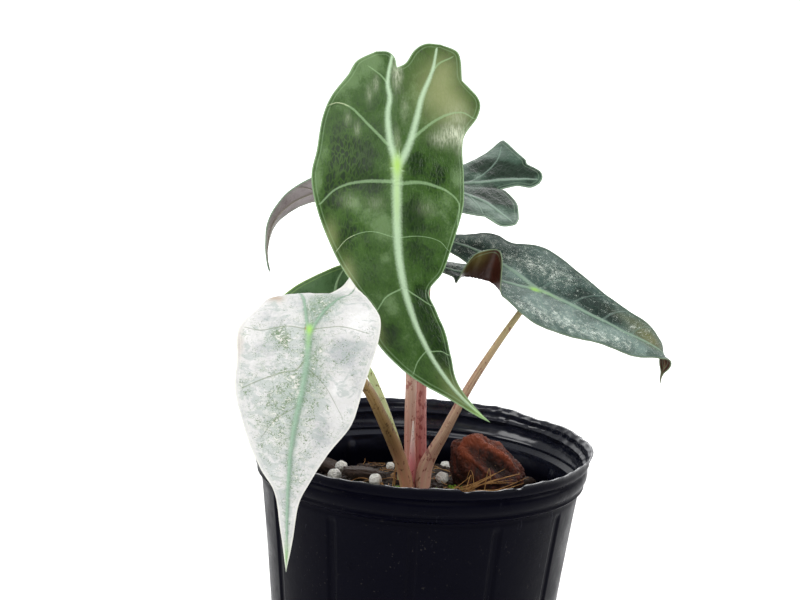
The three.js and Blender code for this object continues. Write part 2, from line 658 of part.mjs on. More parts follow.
beads.forEach((bead, i) => addNode(`perlite_bead_${i + 1}`, beadGeometry(bead), 0xe6e4dc, 0.8));
chips.forEach((chip, i) => addNode(`bark_chip_${i + 1}`, chipGeometry(chip), 0x3b2416, 0.85));
addNode('husk_chunk', huskGeometry(husk), 0x7a3a1a, 0.85);

export default group;
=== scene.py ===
# %% [markdown]
# # A potted variegated alocasia
# The object is a young aroid in a thin black nursery pot. Five arrow shaped blades stand on
# slender petioles: a large green one with pale ribs, a blue green one with white flecks, an
# almost white one, a silvery one that points away and a small dark one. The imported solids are
# loaded first, and every finer piece below takes the place of one of them or lies on one.

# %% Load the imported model
import math
import bmesh
import bpy
import numpy as np
from mathutils import Matrix, Vector, noise


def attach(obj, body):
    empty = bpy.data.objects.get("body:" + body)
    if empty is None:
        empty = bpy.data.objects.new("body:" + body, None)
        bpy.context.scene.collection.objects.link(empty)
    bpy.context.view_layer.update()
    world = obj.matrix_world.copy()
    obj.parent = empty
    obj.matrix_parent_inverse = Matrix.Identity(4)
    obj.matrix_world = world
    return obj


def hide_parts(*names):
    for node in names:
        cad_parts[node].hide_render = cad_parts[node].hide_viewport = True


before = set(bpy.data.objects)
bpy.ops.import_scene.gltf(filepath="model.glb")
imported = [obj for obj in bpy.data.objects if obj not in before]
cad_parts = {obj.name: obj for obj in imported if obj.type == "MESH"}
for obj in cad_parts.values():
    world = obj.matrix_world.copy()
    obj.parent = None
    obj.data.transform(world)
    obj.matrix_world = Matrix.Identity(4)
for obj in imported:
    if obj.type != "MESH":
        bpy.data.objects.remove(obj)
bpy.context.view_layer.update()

MM = 0.001
SIDES = ((0, 1), (1, -1))
print("nodes in the frame:", len(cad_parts))


def add_object(name, data):
    added = bpy.data.objects.new(name, data)
    bpy.context.scene.collection.objects.link(added)
    return added

# %% [markdown]
# ## Camera, floor and light
# A product picture like this one is taken with a long lens from a little above the rim, with the
# camera tipped slightly to one side. Turning the picture's numbers into a camera keeps every
# piece where it belongs: a point of the plant is tied to a pixel, and the camera is placed from
# that point. The light is a bright room: a pale surrounding light for the soft fill, and a few
# large panels, because leaves and black plastic only show their form by what they reflect.

# %% Camera at the picture's angle
FOCAL_LENGTH, SENSOR_WIDTH, PICTURE = 98.1, 36.0, (800, 600)
AIM_POINT, AIM_PIXEL, CAMERA_DISTANCE = Vector((0, 0, 0.140)), (422.5, 439.0), 0.960
CAMERA_PITCH, CAMERA_ROLL = math.radians(11.8), math.radians(3.4)

backward = Vector((0, -math.cos(CAMERA_PITCH), math.sin(CAMERA_PITCH)))
sideways = Vector((1, 0, 0))
upward = sideways.cross(-backward)
camera_right = math.cos(CAMERA_ROLL) * sideways + math.sin(CAMERA_ROLL) * upward
camera_up = math.cos(CAMERA_ROLL) * upward - math.sin(CAMERA_ROLL) * sideways
metres_per_pixel = CAMERA_DISTANCE * SENSOR_WIDTH / FOCAL_LENGTH / PICTURE[0]
offset = camera_right * (AIM_PIXEL[0] - PICTURE[0] / 2) - camera_up * (AIM_PIXEL[1] - PICTURE[1] / 2)
camera_place = AIM_POINT + backward * CAMERA_DISTANCE - offset * metres_per_pixel

camera_data = bpy.data.cameras.new("camera")
camera_data.lens, camera_data.sensor_width = FOCAL_LENGTH, SENSOR_WIDTH
camera = add_object("camera", camera_data)
turn = Matrix((camera_right, camera_up, backward)).transposed()
camera.matrix_world = Matrix.Translation(camera_place) @ turn.to_4x4()
bpy.context.scene.camera = camera
print("camera at", [round(v, 3) for v in camera_place])

# %% [markdown]
# Materials here are trees of nodes, so a few small helpers keep the cells short. One tree is open
# at a time, and every helper adds to it. A node's output comes as a wire, and sums of wires add
# Math nodes, so that a mask reads like a formula. Colours are given from 0 to 255.

# %% Helpers for node trees
class Wire:
    """The output of a node. Arithmetic on wires adds Math nodes to the open tree."""
    def __init__(self, socket):
        self.socket = socket

    def __add__(self, other):
        return maths("ADD", self, other)

    def __sub__(self, other):
        return maths("SUBTRACT", self, other)

    def __rsub__(self, other):
        return maths("SUBTRACT", other, self)

    def __mul__(self, other):
        return maths("MULTIPLY", self, other)

    def __truediv__(self, other):
        return maths("DIVIDE", self, other)

    __radd__, __rmul__ = __add__, __mul__


def fill(node, values):
    """Sets a node's inputs, by name or number, to constants or to wires."""
    for key, value in values.items():
        if isinstance(value, Wire):
            tree.links.new(value.socket, node.inputs[key])
        else:
            node.inputs[key].default_value = value
    return node


def put(kind, values=None, output=0, **settings):
    node = tree.nodes.new(kind)
    for name, value in settings.items():
        setattr(node, name, value)
    return Wire(fill(node, values or {}).outputs[output])


def maths(operation, first, second=0.0, clamp=False):
    return put("ShaderNodeMath", {0: first, 1: second}, operation=operation, use_clamp=clamp)


def vector_maths(operation, first, second):
    return put("ShaderNodeVectorMath", {0: first, 1: second}, operation=operation)


def stretch(vector, x, y, z):
    return vector_maths("MULTIPLY", vector, (x, y, z))


def colour(red, green, blue):
    """An everyday colour of 0 to 255 as the linear one that the renderer works in."""
    parts = [v / 255 for v in (red, green, blue)]
    return (*[v / 12.92 if v < 0.04045 else ((v + 0.055) / 1.055) ** 2.4 for v in parts], 1.0)


def step(value, low, high, start=0.0, end=1.0):
    """A soft step: start below low, end above high."""
    values = {0: value, 1: low, 2: high, 3: start, 4: end}
    return put("ShaderNodeMapRange", values, interpolation_type="SMOOTHSTEP")


def blend(share, first, second):
    return put("ShaderNodeMix", {0: share, 6: first, 7: second}, 2, data_type="RGBA")


def grain(vector, scale, detail=4.0, roughness=0.55, distortion=0.0):
    return put("ShaderNodeTexNoise", {"Vector": vector, "Scale": scale, "Detail": detail,
                                      "Roughness": roughness, "Distortion": distortion}, "Fac")


def stored(name, output="Fac"):
    return put("ShaderNodeAttribute", output=output, attribute_name=name)


INPUT_KINDS = {float: "NodeSocketFloat", int: "NodeSocketInt", "vector": "NodeSocketVector",
               "colour": "NodeSocketColor", "shape": "NodeSocketGeometry", "finish": "NodeSocketMaterial"}
OUTPUT_KINDS = {"VALUE": "NodeSocketFloat", "RGBA": "NodeSocketColor", "GEOMETRY": "NodeSocketGeometry"}


def open_group(name, inputs, kind="ShaderNodeTree"):
    """Starts a group whose inputs are listed with a starting value or with their kind."""
    global tree
    tree = bpy.data.node_groups.new(name, kind)
    for label, start in inputs.items():
        worded = isinstance(start, str)
        socket = tree.interface.new_socket(label, in_out="INPUT",
                                           socket_type=INPUT_KINDS[start if worded else type(start)])
        if not worded:
            socket.default_value = start
    return {socket.name: Wire(socket) for socket in tree.nodes.new("NodeGroupInput").outputs}


def close_group(outputs):
    for label, wire in outputs.items():
        tree.interface.new_socket(label, in_out="OUTPUT", socket_type=OUTPUT_KINDS[wire.socket.type])
    fill(tree.nodes.new("NodeGroupOutput"), outputs)
    return tree


def use_group(group, values):
    node = tree.nodes.new("ShaderNodeGroup")
    node.node_tree = group
    return {socket.name: Wire(socket) for socket in fill(node, values).outputs}


def new_material(name, ior=1.45):
    """Opens a material and gives it, its shader and its Object coordinates."""
    global tree
    material = bpy.data.materials.new(name)
    material.use_nodes = True
    tree = material.node_tree
    shader = fill(tree.nodes["Principled BSDF"], {"IOR": ior})
    return material, shader, put("ShaderNodeTexCoord", output="Object")


def dress(shader, body, gloss, relief, distance, strength=1.0):
    """Gives a shader its colour, its roughness and a relief of so many metres."""
    normal = put("ShaderNodeBump", {"Height": relief, "Distance": distance, "Strength": strength})
    fill(shader, {"Base Color": body, "Roughness": gloss, "Normal": normal})

# %% Pale floor and studio light
FLOOR_REACH, FLOOR_HEIGHT = 9, -0.0005
floor_mesh = bpy.data.meshes.new("floor")
corners = [(FLOOR_REACH * x, FLOOR_REACH * y, FLOOR_HEIGHT) for x, y in ((-1, -1), (1, -1), (1, 1), (-1, 1))]
floor_mesh.from_pydata(corners, [], [(0, 1, 2, 3)])
floor = add_object("floor", floor_mesh)
glowing_floor, shader, place = new_material("glowing_white_floor")
far = put("ShaderNodeVectorMath", {0: place}, "Value", operation="LENGTH")
fill(shader, {
    "Base Color": blend(grain(place, 9.0), colour(247, 247, 247), colour(252, 252, 252)), "Roughness": 0.9,
    # The floor glows, dimly near the pot and more strongly farther out. This painted glow brightens the floor and
    # lights the plant from below.
    "Emission Color": blend(step(far, 0.12, 1.6), (0.08, 0.08, 0.08, 1), (0.75, 0.75, 0.75, 1)),
    "Emission Strength": 1.0, "Specular IOR Level": 0.05})
floor_mesh.materials.append(glowing_floor)

world = bpy.data.worlds.new("bright_room")
bpy.context.scene.world = world
world.use_nodes = True
tree = world.node_tree
seen = put("ShaderNodeSeparateXYZ", {0: put("ShaderNodeTexCoord", output="Generated")}, "Y")
fill(tree.nodes["Background"], {"Strength": step(seen, 0.45, 0.9, 0.44, 1.05), "Color": (0.98, 0.99, 1.0, 1.0)})
bpy.context.scene.view_settings.view_transform = "Standard"

PANELS = {  # place and side in metres, power in watts
    "above": ((-0.25, -0.35, 1.25), 0.9, 10.0), "front": ((0.25, -1.1, 1.1), 1.0, 5.0),
    "right": ((1.05, 0.15, 0.75), 0.6, 7.0), "left": ((-1.15, -0.3, 0.75), 0.7, 7.0),
    "behind": ((0.15, 1.3, 0.9), 0.8, 6.0)}
LIGHT_AIM = Vector((0, 0, 0.17))
for name, (spot, side, power) in PANELS.items():
    panel_data = bpy.data.lights.new(f"panel_{name}", "AREA")
    panel_data.size, panel_data.energy = side, power
    turn = (LIGHT_AIM - Vector(spot)).to_track_quat("-Z", "Y").to_matrix().to_4x4()
    add_object(f"panel_{name}", panel_data).matrix_world = Matrix.Translation(spot) @ turn
print("light panels:", len(PANELS))

# %% [markdown]
# ## Small tools for shapes
# Every piece is first a table of points. These helpers turn such a table into an object, write
# measured values on its points, and run a smooth line through a few given points, which is
# how a person draws a margin: a few marks, then one flowing stroke.

# %% Helpers for meshes
def make_object(name, points, faces, material, edges=()):
    mesh = bpy.data.meshes.new(name)
    mesh.from_pydata(np.asarray(points, float).tolist(), list(edges), faces)
    mesh.update()
    if material:
        mesh.materials.append(material)
    return add_object(name, mesh)


def write_values(piece, name, values):
    values = np.asarray(values, float)
    kind, key = ("FLOAT_VECTOR", "vector") if values.ndim == 2 else ("FLOAT", "value")
    piece.data.attributes.new(name, kind, "POINT").data.foreach_set(key, values.ravel())


def smooth_faces(piece, sharp_above=None):
    piece.data.shade_smooth()
    if sharp_above:
        piece.data.set_sharp_from_angle(angle=math.radians(sharp_above))


def belongs(piece, slot, *nodes):
    """The piece moves with the plant and may stand for nodes. The slot is not used."""
    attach(piece, "root")
    if nodes:
        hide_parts(*nodes)
    print(f"{piece.name}: {len(piece.data.vertices)} points, {len(piece.data.polygons)} faces")


def evaluated_mesh(piece):
    """The piece with its modifiers applied, as a plain mesh that keeps its stored values."""
    graph = bpy.context.evaluated_depsgraph_get()
    shown = piece.evaluated_get(graph)
    mesh = bpy.data.meshes.new_from_object(shown, preserve_all_data_layers=True, depsgraph=graph)
    piece.modifiers.clear()
    piece.data = mesh


def keyed(rows, stations, column):
    """A smooth curve through keys given as rows of [station, value, value, ...]."""
    table = np.array(rows, float)
    x, y = table[:, 0], table[:, column]
    s = np.clip(stations, x[0], x[-1])
    i = np.searchsorted(x[1:-1], s, side="left")
    gap, rise = np.diff(x), np.diff(y) / np.diff(x)
    inner = (rise[:-1] * gap[1:] + rise[1:] * gap[:-1]) / (gap[1:] + gap[:-1])
    slope = np.concatenate([rise[:1], inner, rise[-1:]])
    h = gap[i]
    t = (s - x[i]) / h
    return (((2 * t - 3) * t * t + 1) * y[i] + ((t - 2) * t + 1) * t * h * slope[i]
            + (3 - 2 * t) * t * t * y[i + 1] + (t - 1) * t * t * h * slope[i + 1])


def stroke(marks, count):
    """Evenly spaced points on one smooth line through the marks."""
    marks = np.array([[*m, 0.0, 0.0][:4] for m in marks], float)
    ends = np.vstack([2 * marks[0] - marks[1], marks, 2 * marks[-1] - marks[-2]])
    a, b, c, d = (ends[k:len(ends) - 3 + k, None] for k in range(4))
    u = np.linspace(0, 1, 40, endpoint=False)[:, None]
    fine = b + u * (c - a) / 2 + u**2 * (a - 2.5 * b + 2 * c - d / 2) + u**3 * (1.5 * b - a / 2 - 1.5 * c + d / 2)
    fine = np.vstack([fine.reshape(-1, 4), marks[-1:]])
    run = np.concatenate([[0], np.cumsum(np.linalg.norm(np.diff(fine[:, :3], axis=0), axis=1))])
    want = np.linspace(0, run[-1], count + 1)
    return np.column_stack([np.interp(want, run, fine[:, k]) for k in range(4)])


def ripple(a, b, seed):
    return (np.sin(a * 3.1 + seed) * 0.5 + np.sin(b * 4.7 + seed * 1.7) * 0.3
            + np.sin((a + b) * 7.3 + seed * 2.3) * 0.2)


def ring_at(radius, turn, height):
    return np.column_stack([radius * np.cos(turn), radius * np.sin(turn), height + 0 * turn])


def ring_quads(start, rows, count, flipped=False):
    """Faces between rings of points that lie one after the other."""
    quads = []
    for i in range(rows):
        for j in range(count):
            a, b = start + i * count + j, start + i * count + (j + 1) % count
            quads.append([a, a + count, b + count, b] if flipped else [a, b, b + count, a + count])
    return quads


def fan(centre, start, count, flipped=False):
    pairs = [(start + j, start + (j + 1) % count) for j in range(count)]
    return [[centre, b, a] if flipped else [centre, a, b] for a, b in pairs]

# %% [markdown]
# ## The blades
# A blade of this plant is an arrow: one long pointed half, and two lobes that reach back past the
# place where the petiole joins. It could be sculpted, but drawing it flat is easier to get right,
# as a botanist does. The outline has points [along, across, lift] in millimetres. Along is
# measured on the midrib from the joint, and lift raises the waved margin. The flat drawing is
# then bent along its midrib, folded a little like an open book, and laid out from the joint.
# Side 0 is on the left when looking from the joint to the tip. Veins are drawn on the same flat
# sheet as [along, across, half width], so they follow every bend.

# %% The five leaves, in millimetres and degrees
LEAVES = {
    "main": {
        "joint": (-18.3, -12, 263.8), "aim": (-92, -58, -10), "sinus": 45,
        "axis": [[-60, 4, 6, 0], [-30, 4, 3, 0], [0, 4, 0, 0], [32, 7, -3, 0], [64, 23, -7, 0],
                 [97, 44, -10, 0], [124, 65, -14, 0]],
        "fold": [[-60, -8], [0, -10], [124, -4]],
        "notch": [[[-59, 13], [-55, 8], [-48, 4]], [[-53, 4], [-50, 1]]],
        "outline": [
            [[-60, 20], [-56, 28, 1], [-44, 30, -1], [-35, 37, 1], [-26, 36, 2], [-15, 30], [1, 31, -2],
             [16, 30], [33, 25, 2], [50, 19], [59, 11, -1], [69, 11], [80, 11], [91, 8], [103, 3], [124, 0]],
            [[-53, 9], [-48, 17, 1], [-41, 21, 1], [-32, 28, -1], [-21, 32, -1], [-5, 34, 1], [8, 36, 2],
             [23, 33], [40, 26, -2], [54, 19], [63, 15, 1], [72, 18, 1], [84, 14], [95, 9], [106, 4], [124, 0]]],
        "ribs": [
            [[-1, 0, 2.2], [10, 0, 2.1], [40, 0, 1.7], [75, 0, 1.1], [105, 0, 0.7], [123, 0, 0.4]],
            [[3, 0, 1.7], [-3, 3, 1.7], [-11, 6, 1.6], [-23, 9, 1.4], [-32, 11, 1.2], [-46, 16, 0.8],
             [-57, 18, 0.5]],
            [[3, 0, 1.7], [-2, -1, 1.7], [-10, -3, 1.6], [-22, -4, 1.3], [-30, -3, 1.2], [-38, -4, 1],
             [-51, -2, 0.7]]],
        "laterals": [
            [[9, -1, 1.2], [9, -12, 1.0], [10, -19, 0.8], [13, -26, 0.6], [19, -32, 0.5]],
            [[10, 1, 1.2], [8, 10, 1.1], [9, 19, 0.9], [11, 24, 0.7], [16, 28, 0.5], [26, 26.5, 0.4]],
            [[-8, -4, 1.0], [-17, -12, 0.8], [-25, -19, 0.7], [-28, -25, 0.5], [-27, -29, 0.4]],
            [[-37, -4, 0.6], [-41, -7, 0.5], [-45, -12, 0.4]],
            [[-12, 7, 1.0], [-20, 15, 0.8], [-25, 22, 0.7], [-27, 29, 0.5], [-25, 34, 0.4]],
            [[-44, 15, 0.7], [-50, 19, 0.6], [-54, 25, 0.4]],
            [[34, -1, 0.3], [31, -11, 0.28], [33, -20, 0.25], [38, -26, 0.2]],
            [[34, 1, 0.3], [33, 10, 0.28], [35, 18, 0.25], [40, 22, 0.2]],
            [[56, -1, 0.5], [58, -8, 0.45], [62, -13, 0.35]], [[57, 1, 0.5], [62, 6, 0.45], [66, 9.5, 0.35]],
            [[84, -1, 0.4], [86, -6, 0.35], [89, -10, 0.3]], [[85, 1, 0.4], [87, 5, 0.35], [90, 7, 0.3]]]},
    "flecked": {
        "joint": (44, 2, 210), "aim": (-18, -20, 19), "sinus": 30,
        "axis": [[-50, 7, 12, 0], [-25, 7, 5, 0], [0, 7, 0, 0], [20, 5, -3, 0], [42, 11, -8, 0],
                 [58, 12, -14, 0], [63, 11, -34, -15], [66, 8, -64, -50], [70, 4, -82, -80],
                 [75, 0, -84, -80], [79, -10, -66, -80]],
        "fold": [[-50, 7], [0, 7], [79, 4]],
        "flap": (1, [[-50, 14, 0], [-30, 14, 0], [-27.5, 11.5, 100], [-24.5, 10.5, 122], [-18, 9, 125],
                     [-13, 13, 75], [-9, 19, 0], [79, 27, 0]]),
        "notch": [[[-42, 5], [-36, 3]], [[-41, 4], [-36, 2]]],
        "outline": [
            [[-49, 8], [-46, 14], [-37, 19.5], [-30, 24], [-24, 25], [-17, 23.5], [-5, 28], [6, 25.5], [19, 20.5],
             [32, 16.5], [45, 14], [55, 10], [62, 6], [66, 4], [70, 2.4], [73.5, 0.8], [79, 0]],
            [[-47, 7], [-43, 11], [-38, 14], [-33, 15.5], [-29.5, 20], [-22, 24], [-15, 21], [-10, 18], [-4, 21.5],
             [1, 25.5], [9, 28.5], [21, 26.5], [34, 19.5], [46, 15.5], [55, 11], [62, 6.5], [66, 4], [70, 2.4],
             [73.5, 0.8], [79, 0]]],
        "ribs": [
            [[-1, 0, 1.5], [20, 0, 1.2], [45, 0, 0.8], [78, 0, 0.4]],
            [[2, 0, 1.2], [-8, 4, 1.1], [-20, 8, 0.9], [-34, 11, 0.7], [-45, 11, 0.4]],
            [[2, 0, 1.2], [-8, -4, 1.1], [-20, -7, 0.9], [-33, -10, 0.7], [-44, -10, 0.4]]],
        "lateral_stations": [3, 18, 33, 47]},
    "white": {
        "joint": (-49.2, -70, 202.2), "aim": (-97, -68, 0), "sinus": 20,
        "axis": [[-34, 2, 105, 0], [-16, 2, 52, 0], [-4, 2, 6, 0], [10, 1, -2, 0], [28, -7, -6, 0],
                 [56, 0, -12, 0], [84, 3, -16, 0], [99, 2, -18, 0]],
        "fold": [[-34, -8], [0, -8], [99, -4]],
        "notch": [[[-30, 8.5, 4.5], [-27, 5, 0.5], [-23, 2, 0]], [[-24, 5]]],
        "outline": [
            [[-31, 10.5, 9.5], [-29.5, 14.5, 5.5], [-26, 18, 3], [-17, 23.5, 1], [-8, 28], [3, 28], [20, 24],
             [35, 22], [49, 15], [61, 9], [71, 4.5], [85, 2.5], [99, 0]],
            [[-27, 12], [-19, 19], [-10, 23], [1, 30], [14, 29.5], [30, 28], [45, 20], [58, 12], [67, 5.5],
             [83, 2.5], [99, 0]]],
        "ribs": [
            [[-1, 0, 1.3], [20, 0, 1.2], [50, 0, 0.9], [75, 0, 0.6], [98, 0, 0.3]],
            [[2, 0, 0.8], [-6, 4, 0.6], [-15, 9, 0.45], [-29, 14, 0.3]],
            [[2, 0, 0.8], [-6, -2, 0.6], [-14, -4, 0.5], [-24, -8, 0.3]]],
        "laterals": [
            [[0, -1, 0.4], [-1, -10, 0.35], [1, -20, 0.3], [0, -27, 0.25]],
            [[0, 1, 0.35], [-1.5, 8.5, 0.3], [-2, 14, 0.25], [0, 24, 0.2]],
            [[13, -1, 0.5], [17, -4, 0.4], [19, -10, 0.4], [23, -17, 0.4], [29, -25, 0.3]],
            [[32, -1, 0.3], [38, -8, 0.25], [46, -13, 0.2]], [[16, 1, 0.3], [22, 9, 0.2], [32, 18, 0.15]]]},
    "back": {
        "joint": (0, 35, 247), "aim": (168, -3, -10), "sinus": 29,
        "axis": [[-55, 0, 0, -20], [-25, 0, 0, -14], [0, 0, 0, 0], [26, 0, -3, 20], [52, 5, -12, 40],
                 [72, 22, -38, 50], [88, 46, -74, 50], [105, 68, -104, 50]],
        "fold": [[-55, 5], [0, 5], [105, 4]],
        "notch": [[[-38, 11.5], [-32, 2.5]], [[-42, 2], [-35.5, 3]]],
        "outline": [
            [[-41, 24], [-40, 29], [-34, 31], [-26, 26], [-15, 27], [0, 28], [20, 28], [40, 20], [56, 12],
             [70, 7], [84, 4], [105, 0]],
            [[-45.5, 5], [-46.3, 8.5], [-45, 12.5], [-41.5, 15.5], [-38, 18], [-36.8, 21], [-33, 25.5], [-29, 30.5],
             [-26, 34.5], [-23, 37], [-17, 29], [-8, 22], [4, 21], [20, 25], [40, 19], [56, 11], [70, 7],
             [84, 4], [105, 0]]],
        "ribs": [
            [[-1, 0, 1.5], [30, 0, 1.2], [60, 0, 0.8], [104, 0, 0.3]],
            [[2, 0, 1.3], [-10, 6, 1.2], [-22, 12, 1.0], [-31, 20, 0.7], [-38, 27, 0.4]],
            [[2, 0, 1.3], [-10, -3, 1.2], [-22, -5, 1.0], [-34, -7, 0.8], [-44, -7, 0.4]]],
        "lateral_stations": [3, 20, 38, 56],
        "laterals": [[[-14, -4, 0.8], [-20, -12, 0.7], [-24, -22, 0.5], [-24, -31, 0.4]],
                     [[-16, 9, 0.8], [-22, 18, 0.6], [-25, 24, 0.4]]]},
    "left": {
        "joint": (-43, 5, 189.5), "aim": (-130, -42, -36), "sinus": 18,
        "axis": [[-30, 0, 0, 0], [0, 0, 0, 0], [20, 0, -3, 0], [40, 0, -8, 0], [62, 0, -12, 0]],
        "fold": [[-30, 5], [0, 5], [62, 4]],
        "notch": [[[-23, 3]], [[-23, 3]]],
        "outline": [
            [[-28, 8], [-24, 13], [-15, 15], [-5, 17], [8, 17], [22, 14], [36, 9], [50, 4], [62, 0]],
            [[-28, 8], [-24, 12], [-15, 17], [-4, 22], [8, 24], [22, 20], [36, 12], [50, 5], [62, 0]]],
        "ribs": [
            [[-1, 0, 1.0], [25, 0, 0.8], [61, 0, 0.3]],
            [[2, 0, 0.9], [-8, 4, 0.8], [-17, 7, 0.6], [-25, 9, 0.3]],
            [[2, 0, 0.9], [-8, -4, 0.8], [-17, -8, 0.6], [-25, -9, 0.3]]],
        "lateral_stations": [3, 15, 27, 39]},
}

# %% [markdown]
# Side veins leave the midrib at an angle and curve towards the tip. On the large leaf each one is
# drawn one by one, because the eye goes there first. The smaller leaves grow theirs by a rule, which
# keeps them parallel and evenly spaced like real ones.

# %% Side veins by rule
def side_veins(leaf):
    veins = leaf.get("laterals", [])
    for start in leaf.get("lateral_stations", []):
        for side, sign in SIDES:
            margin_along, margin_across = np.array([mark[:2] for mark in leaf["outline"][side]], float).T
            width = np.interp(start, margin_along, margin_across)
            path = []
            for share in (0, 0.25, 0.5, 0.75, 0.95):
                along = start + width * (0.22 * share + 0.4 * share**2)
                reach = np.interp(along, margin_along, margin_across)
                path.append([along, sign * (0.5 + reach * share * 0.96), 0.75 - 0.45 * share])
            veins = [*veins, path]
    return veins


for leaf in LEAVES.values():
    leaf["laterals"] = side_veins(leaf)
print("side veins:", {key: len(leaf["laterals"]) for key, leaf in LEAVES.items()})

# %% [markdown]
# To bend the flat sheet, every station on the midrib gets three directions: along, across and up.
# They start from the leaf's aim and turn with the sway, lift and twist keys. Adding up short
# steps along them gives the midrib's line, and the rest of the sheet hangs on it.

# %% Bending a flat leaf
def turns(axis, degrees):
    angle = np.radians(np.atleast_1d(np.asarray(degrees, float)))
    i, j = {"X": (1, 2), "Y": (2, 0), "Z": (0, 1)}[axis]
    matrix = np.zeros((len(angle), 3, 3))
    matrix[:, 3 - i - j, 3 - i - j] = 1
    matrix[:, i, i] = matrix[:, j, j] = np.cos(angle)
    matrix[:, i, j], matrix[:, j, i] = -np.sin(angle), np.sin(angle)
    return matrix


def leaf_directions(leaf, stations):
    heading, pitch, roll = leaf["aim"]
    aim = turns("Z", heading) @ turns("Y", -pitch) @ turns("X", roll)
    sway, lift, twist = (keyed(leaf["axis"], stations, k) for k in (1, 2, 3))
    return aim @ turns("Z", sway) @ turns("Y", -lift) @ turns("X", twist)


def midrib_line(leaf):
    first, last = int(leaf["axis"][0][0]), int(leaf["axis"][-1][0])
    joint = np.array([leaf["joint"]], float)
    ahead = leaf_directions(leaf, np.arange(0, last) + 0.5)[:, :, 0]
    behind = leaf_directions(leaf, -0.5 - np.arange(0, -first))[:, :, 0]
    line = np.vstack([(joint - np.cumsum(behind, axis=0))[::-1], joint, joint + np.cumsum(ahead, axis=0)])
    return np.arange(first, last + 1), line


def lay_out(leaf, along, across, lift):
    """Points of the flat leaf, across signed by side, placed in space in millimetres."""
    stations, line = midrib_line(leaf)
    centre = np.column_stack([np.interp(along, stations, line[:, k]) for k in range(3)])
    directions = leaf_directions(leaf, along)
    outward = np.where(across < 0, -1.0, 1.0)
    t = np.abs(across)
    fold = np.radians(keyed(leaf["fold"], along, 1))
    crease, turned = t.copy(), np.zeros_like(t)
    if "flap" in leaf:
        side, rows = leaf["flap"]
        on_flap = outward == SIDES[side][1]
        crease = np.where(on_flap, np.minimum(t, keyed(rows, along, 1)), t)
        turned = np.where(on_flap, np.radians(keyed(rows, along, 2)), 0)
    out = crease + (t - crease) * np.cos(turned)
    rise = lift + (t - crease) * np.sin(turned)
    sideways = outward * (np.cos(fold) * out - np.sin(fold) * rise)
    upwards = np.sin(fold) * out + np.cos(fold) * rise
    return centre + directions[:, :, 1] * sideways[:, None] + directions[:, :, 2] * upwards[:, None]


def distance_to(points, paths):
    """Distance to the nearest path, the same with a sign for its side, and its half width there."""
    near, signed, width = np.full(len(points), 1e9), np.zeros(len(points)), np.ones(len(points))
    for path in paths:
        for a, b in zip(path[:-1], path[1:]):
            run, offset = b[:2] - a[:2], points - a[:2]
            u = np.clip((offset @ run) / max(run @ run, 1e-9), 0, 1)
            gap = np.linalg.norm(offset - u[:, None] * run, axis=1)
            hand = np.sign(run[0] * offset[:, 1] - run[1] * offset[:, 0])
            closer = gap < near - 1e-9
            near[closer], signed[closer] = gap[closer], (gap * hand)[closer]
            width[closer] = (a[2] + u * (b[2] - a[2]))[closer]
    return near, signed, width

# %% [markdown]
# The finished sheet is thin. It is thickest at the midrib and tapers to a fine edge, its upper
# face puffs up slightly between the veins, and the same grid of points serves both faces, so they
# stay parallel. Values that the finish needs later are written on the points: the flat position,
# the distance to ribs, side veins and margin, and which face a point is on.

# %% Turning a leaf into a blade
LOBE_ROWS, LONG_ROWS, COLUMNS = 56, 150, 30
BLADE_THICKNESS, MARGIN_THICKNESS, QUILT = 0.8, 0.42, 0.35


def notch_marks(leaf, side):
    return [leaf["outline"][side][0], *leaf["notch"][side], [-leaf["sinus"], 0]]


def vein_stroke(path):
    return stroke([[*mark[:2], 0, 0.8 * mark[2]] for mark in path], 24)[:, [0, 1, 3]]


def flat_grid(leaf, side, sign):
    """Rows of flat points from midrib to margin for one half."""
    outline = leaf["outline"][side]
    turn_at = next(i for i, mark in enumerate(outline) if mark[0] > -leaf["sinus"])
    midrib = np.zeros((LONG_ROWS + 1, 4))
    midrib[:, 0] = np.linspace(-leaf["sinus"], outline[-1][0], LONG_ROWS + 1)
    inner = np.vstack([stroke(notch_marks(leaf, side), LOBE_ROWS)[:-1], midrib])[:, None, :3]
    lobe, long_side = stroke(outline[:turn_at + 1], LOBE_ROWS), stroke(outline[turn_at:], LONG_ROWS)
    outer = np.vstack([lobe[:-1], long_side])[:, None, :3]
    share = (np.linspace(0, 1, COLUMNS + 1) ** 1.2)[None, :, None]
    grid = inner + (outer - inner) * share
    grid[:, :, 2] = inner[:, :, 2] * (1 - share[:, :, 0]) + outer[:, :, 2] * share[:, :, 0] ** 2
    return grid * [1, sign, 1]


def blade_waves(leaf, along, across):
    return 0.22 * ripple(along * 0.13, across * 0.11, leaf["joint"][0])


def sheet_faces(leaf):
    """The flat points of both halves, each point once, and the faces between them."""
    grids = [flat_grid(leaf, side, sign) for side, sign in SIDES]
    flat = np.vstack([grid.reshape(-1, 3) for grid in grids])
    _, first, where = np.unique(np.round(flat[:, :2], 3) + 0.0, axis=0, return_index=True, return_inverse=True)
    faces = []
    for index, (side, _) in zip(where.reshape(2, -1, COLUMNS + 1), SIDES):
        quads = np.stack([index[:-1, :-1], index[1:, :-1], index[1:, 1:], index[:-1, 1:]], axis=-1).reshape(-1, 4)
        for quad in (quads[:, ::-1] if side else quads).tolist():
            corners = [v for k, v in enumerate(quad) if v != quad[k - 1]]
            if len(set(corners)) >= 3:
                faces.append(corners)
    return flat[first], faces


def surface_normals(points, faces):
    a, b, c, d = points[np.array([[*face[:3], face[-1]] for face in faces]).T]
    normal = np.zeros_like(points)
    for face, area in zip(faces, np.cross(c - a, d - b)):
        normal[face] += area
    return normal / np.maximum(np.linalg.norm(normal, axis=1), 1e-9)[:, None]


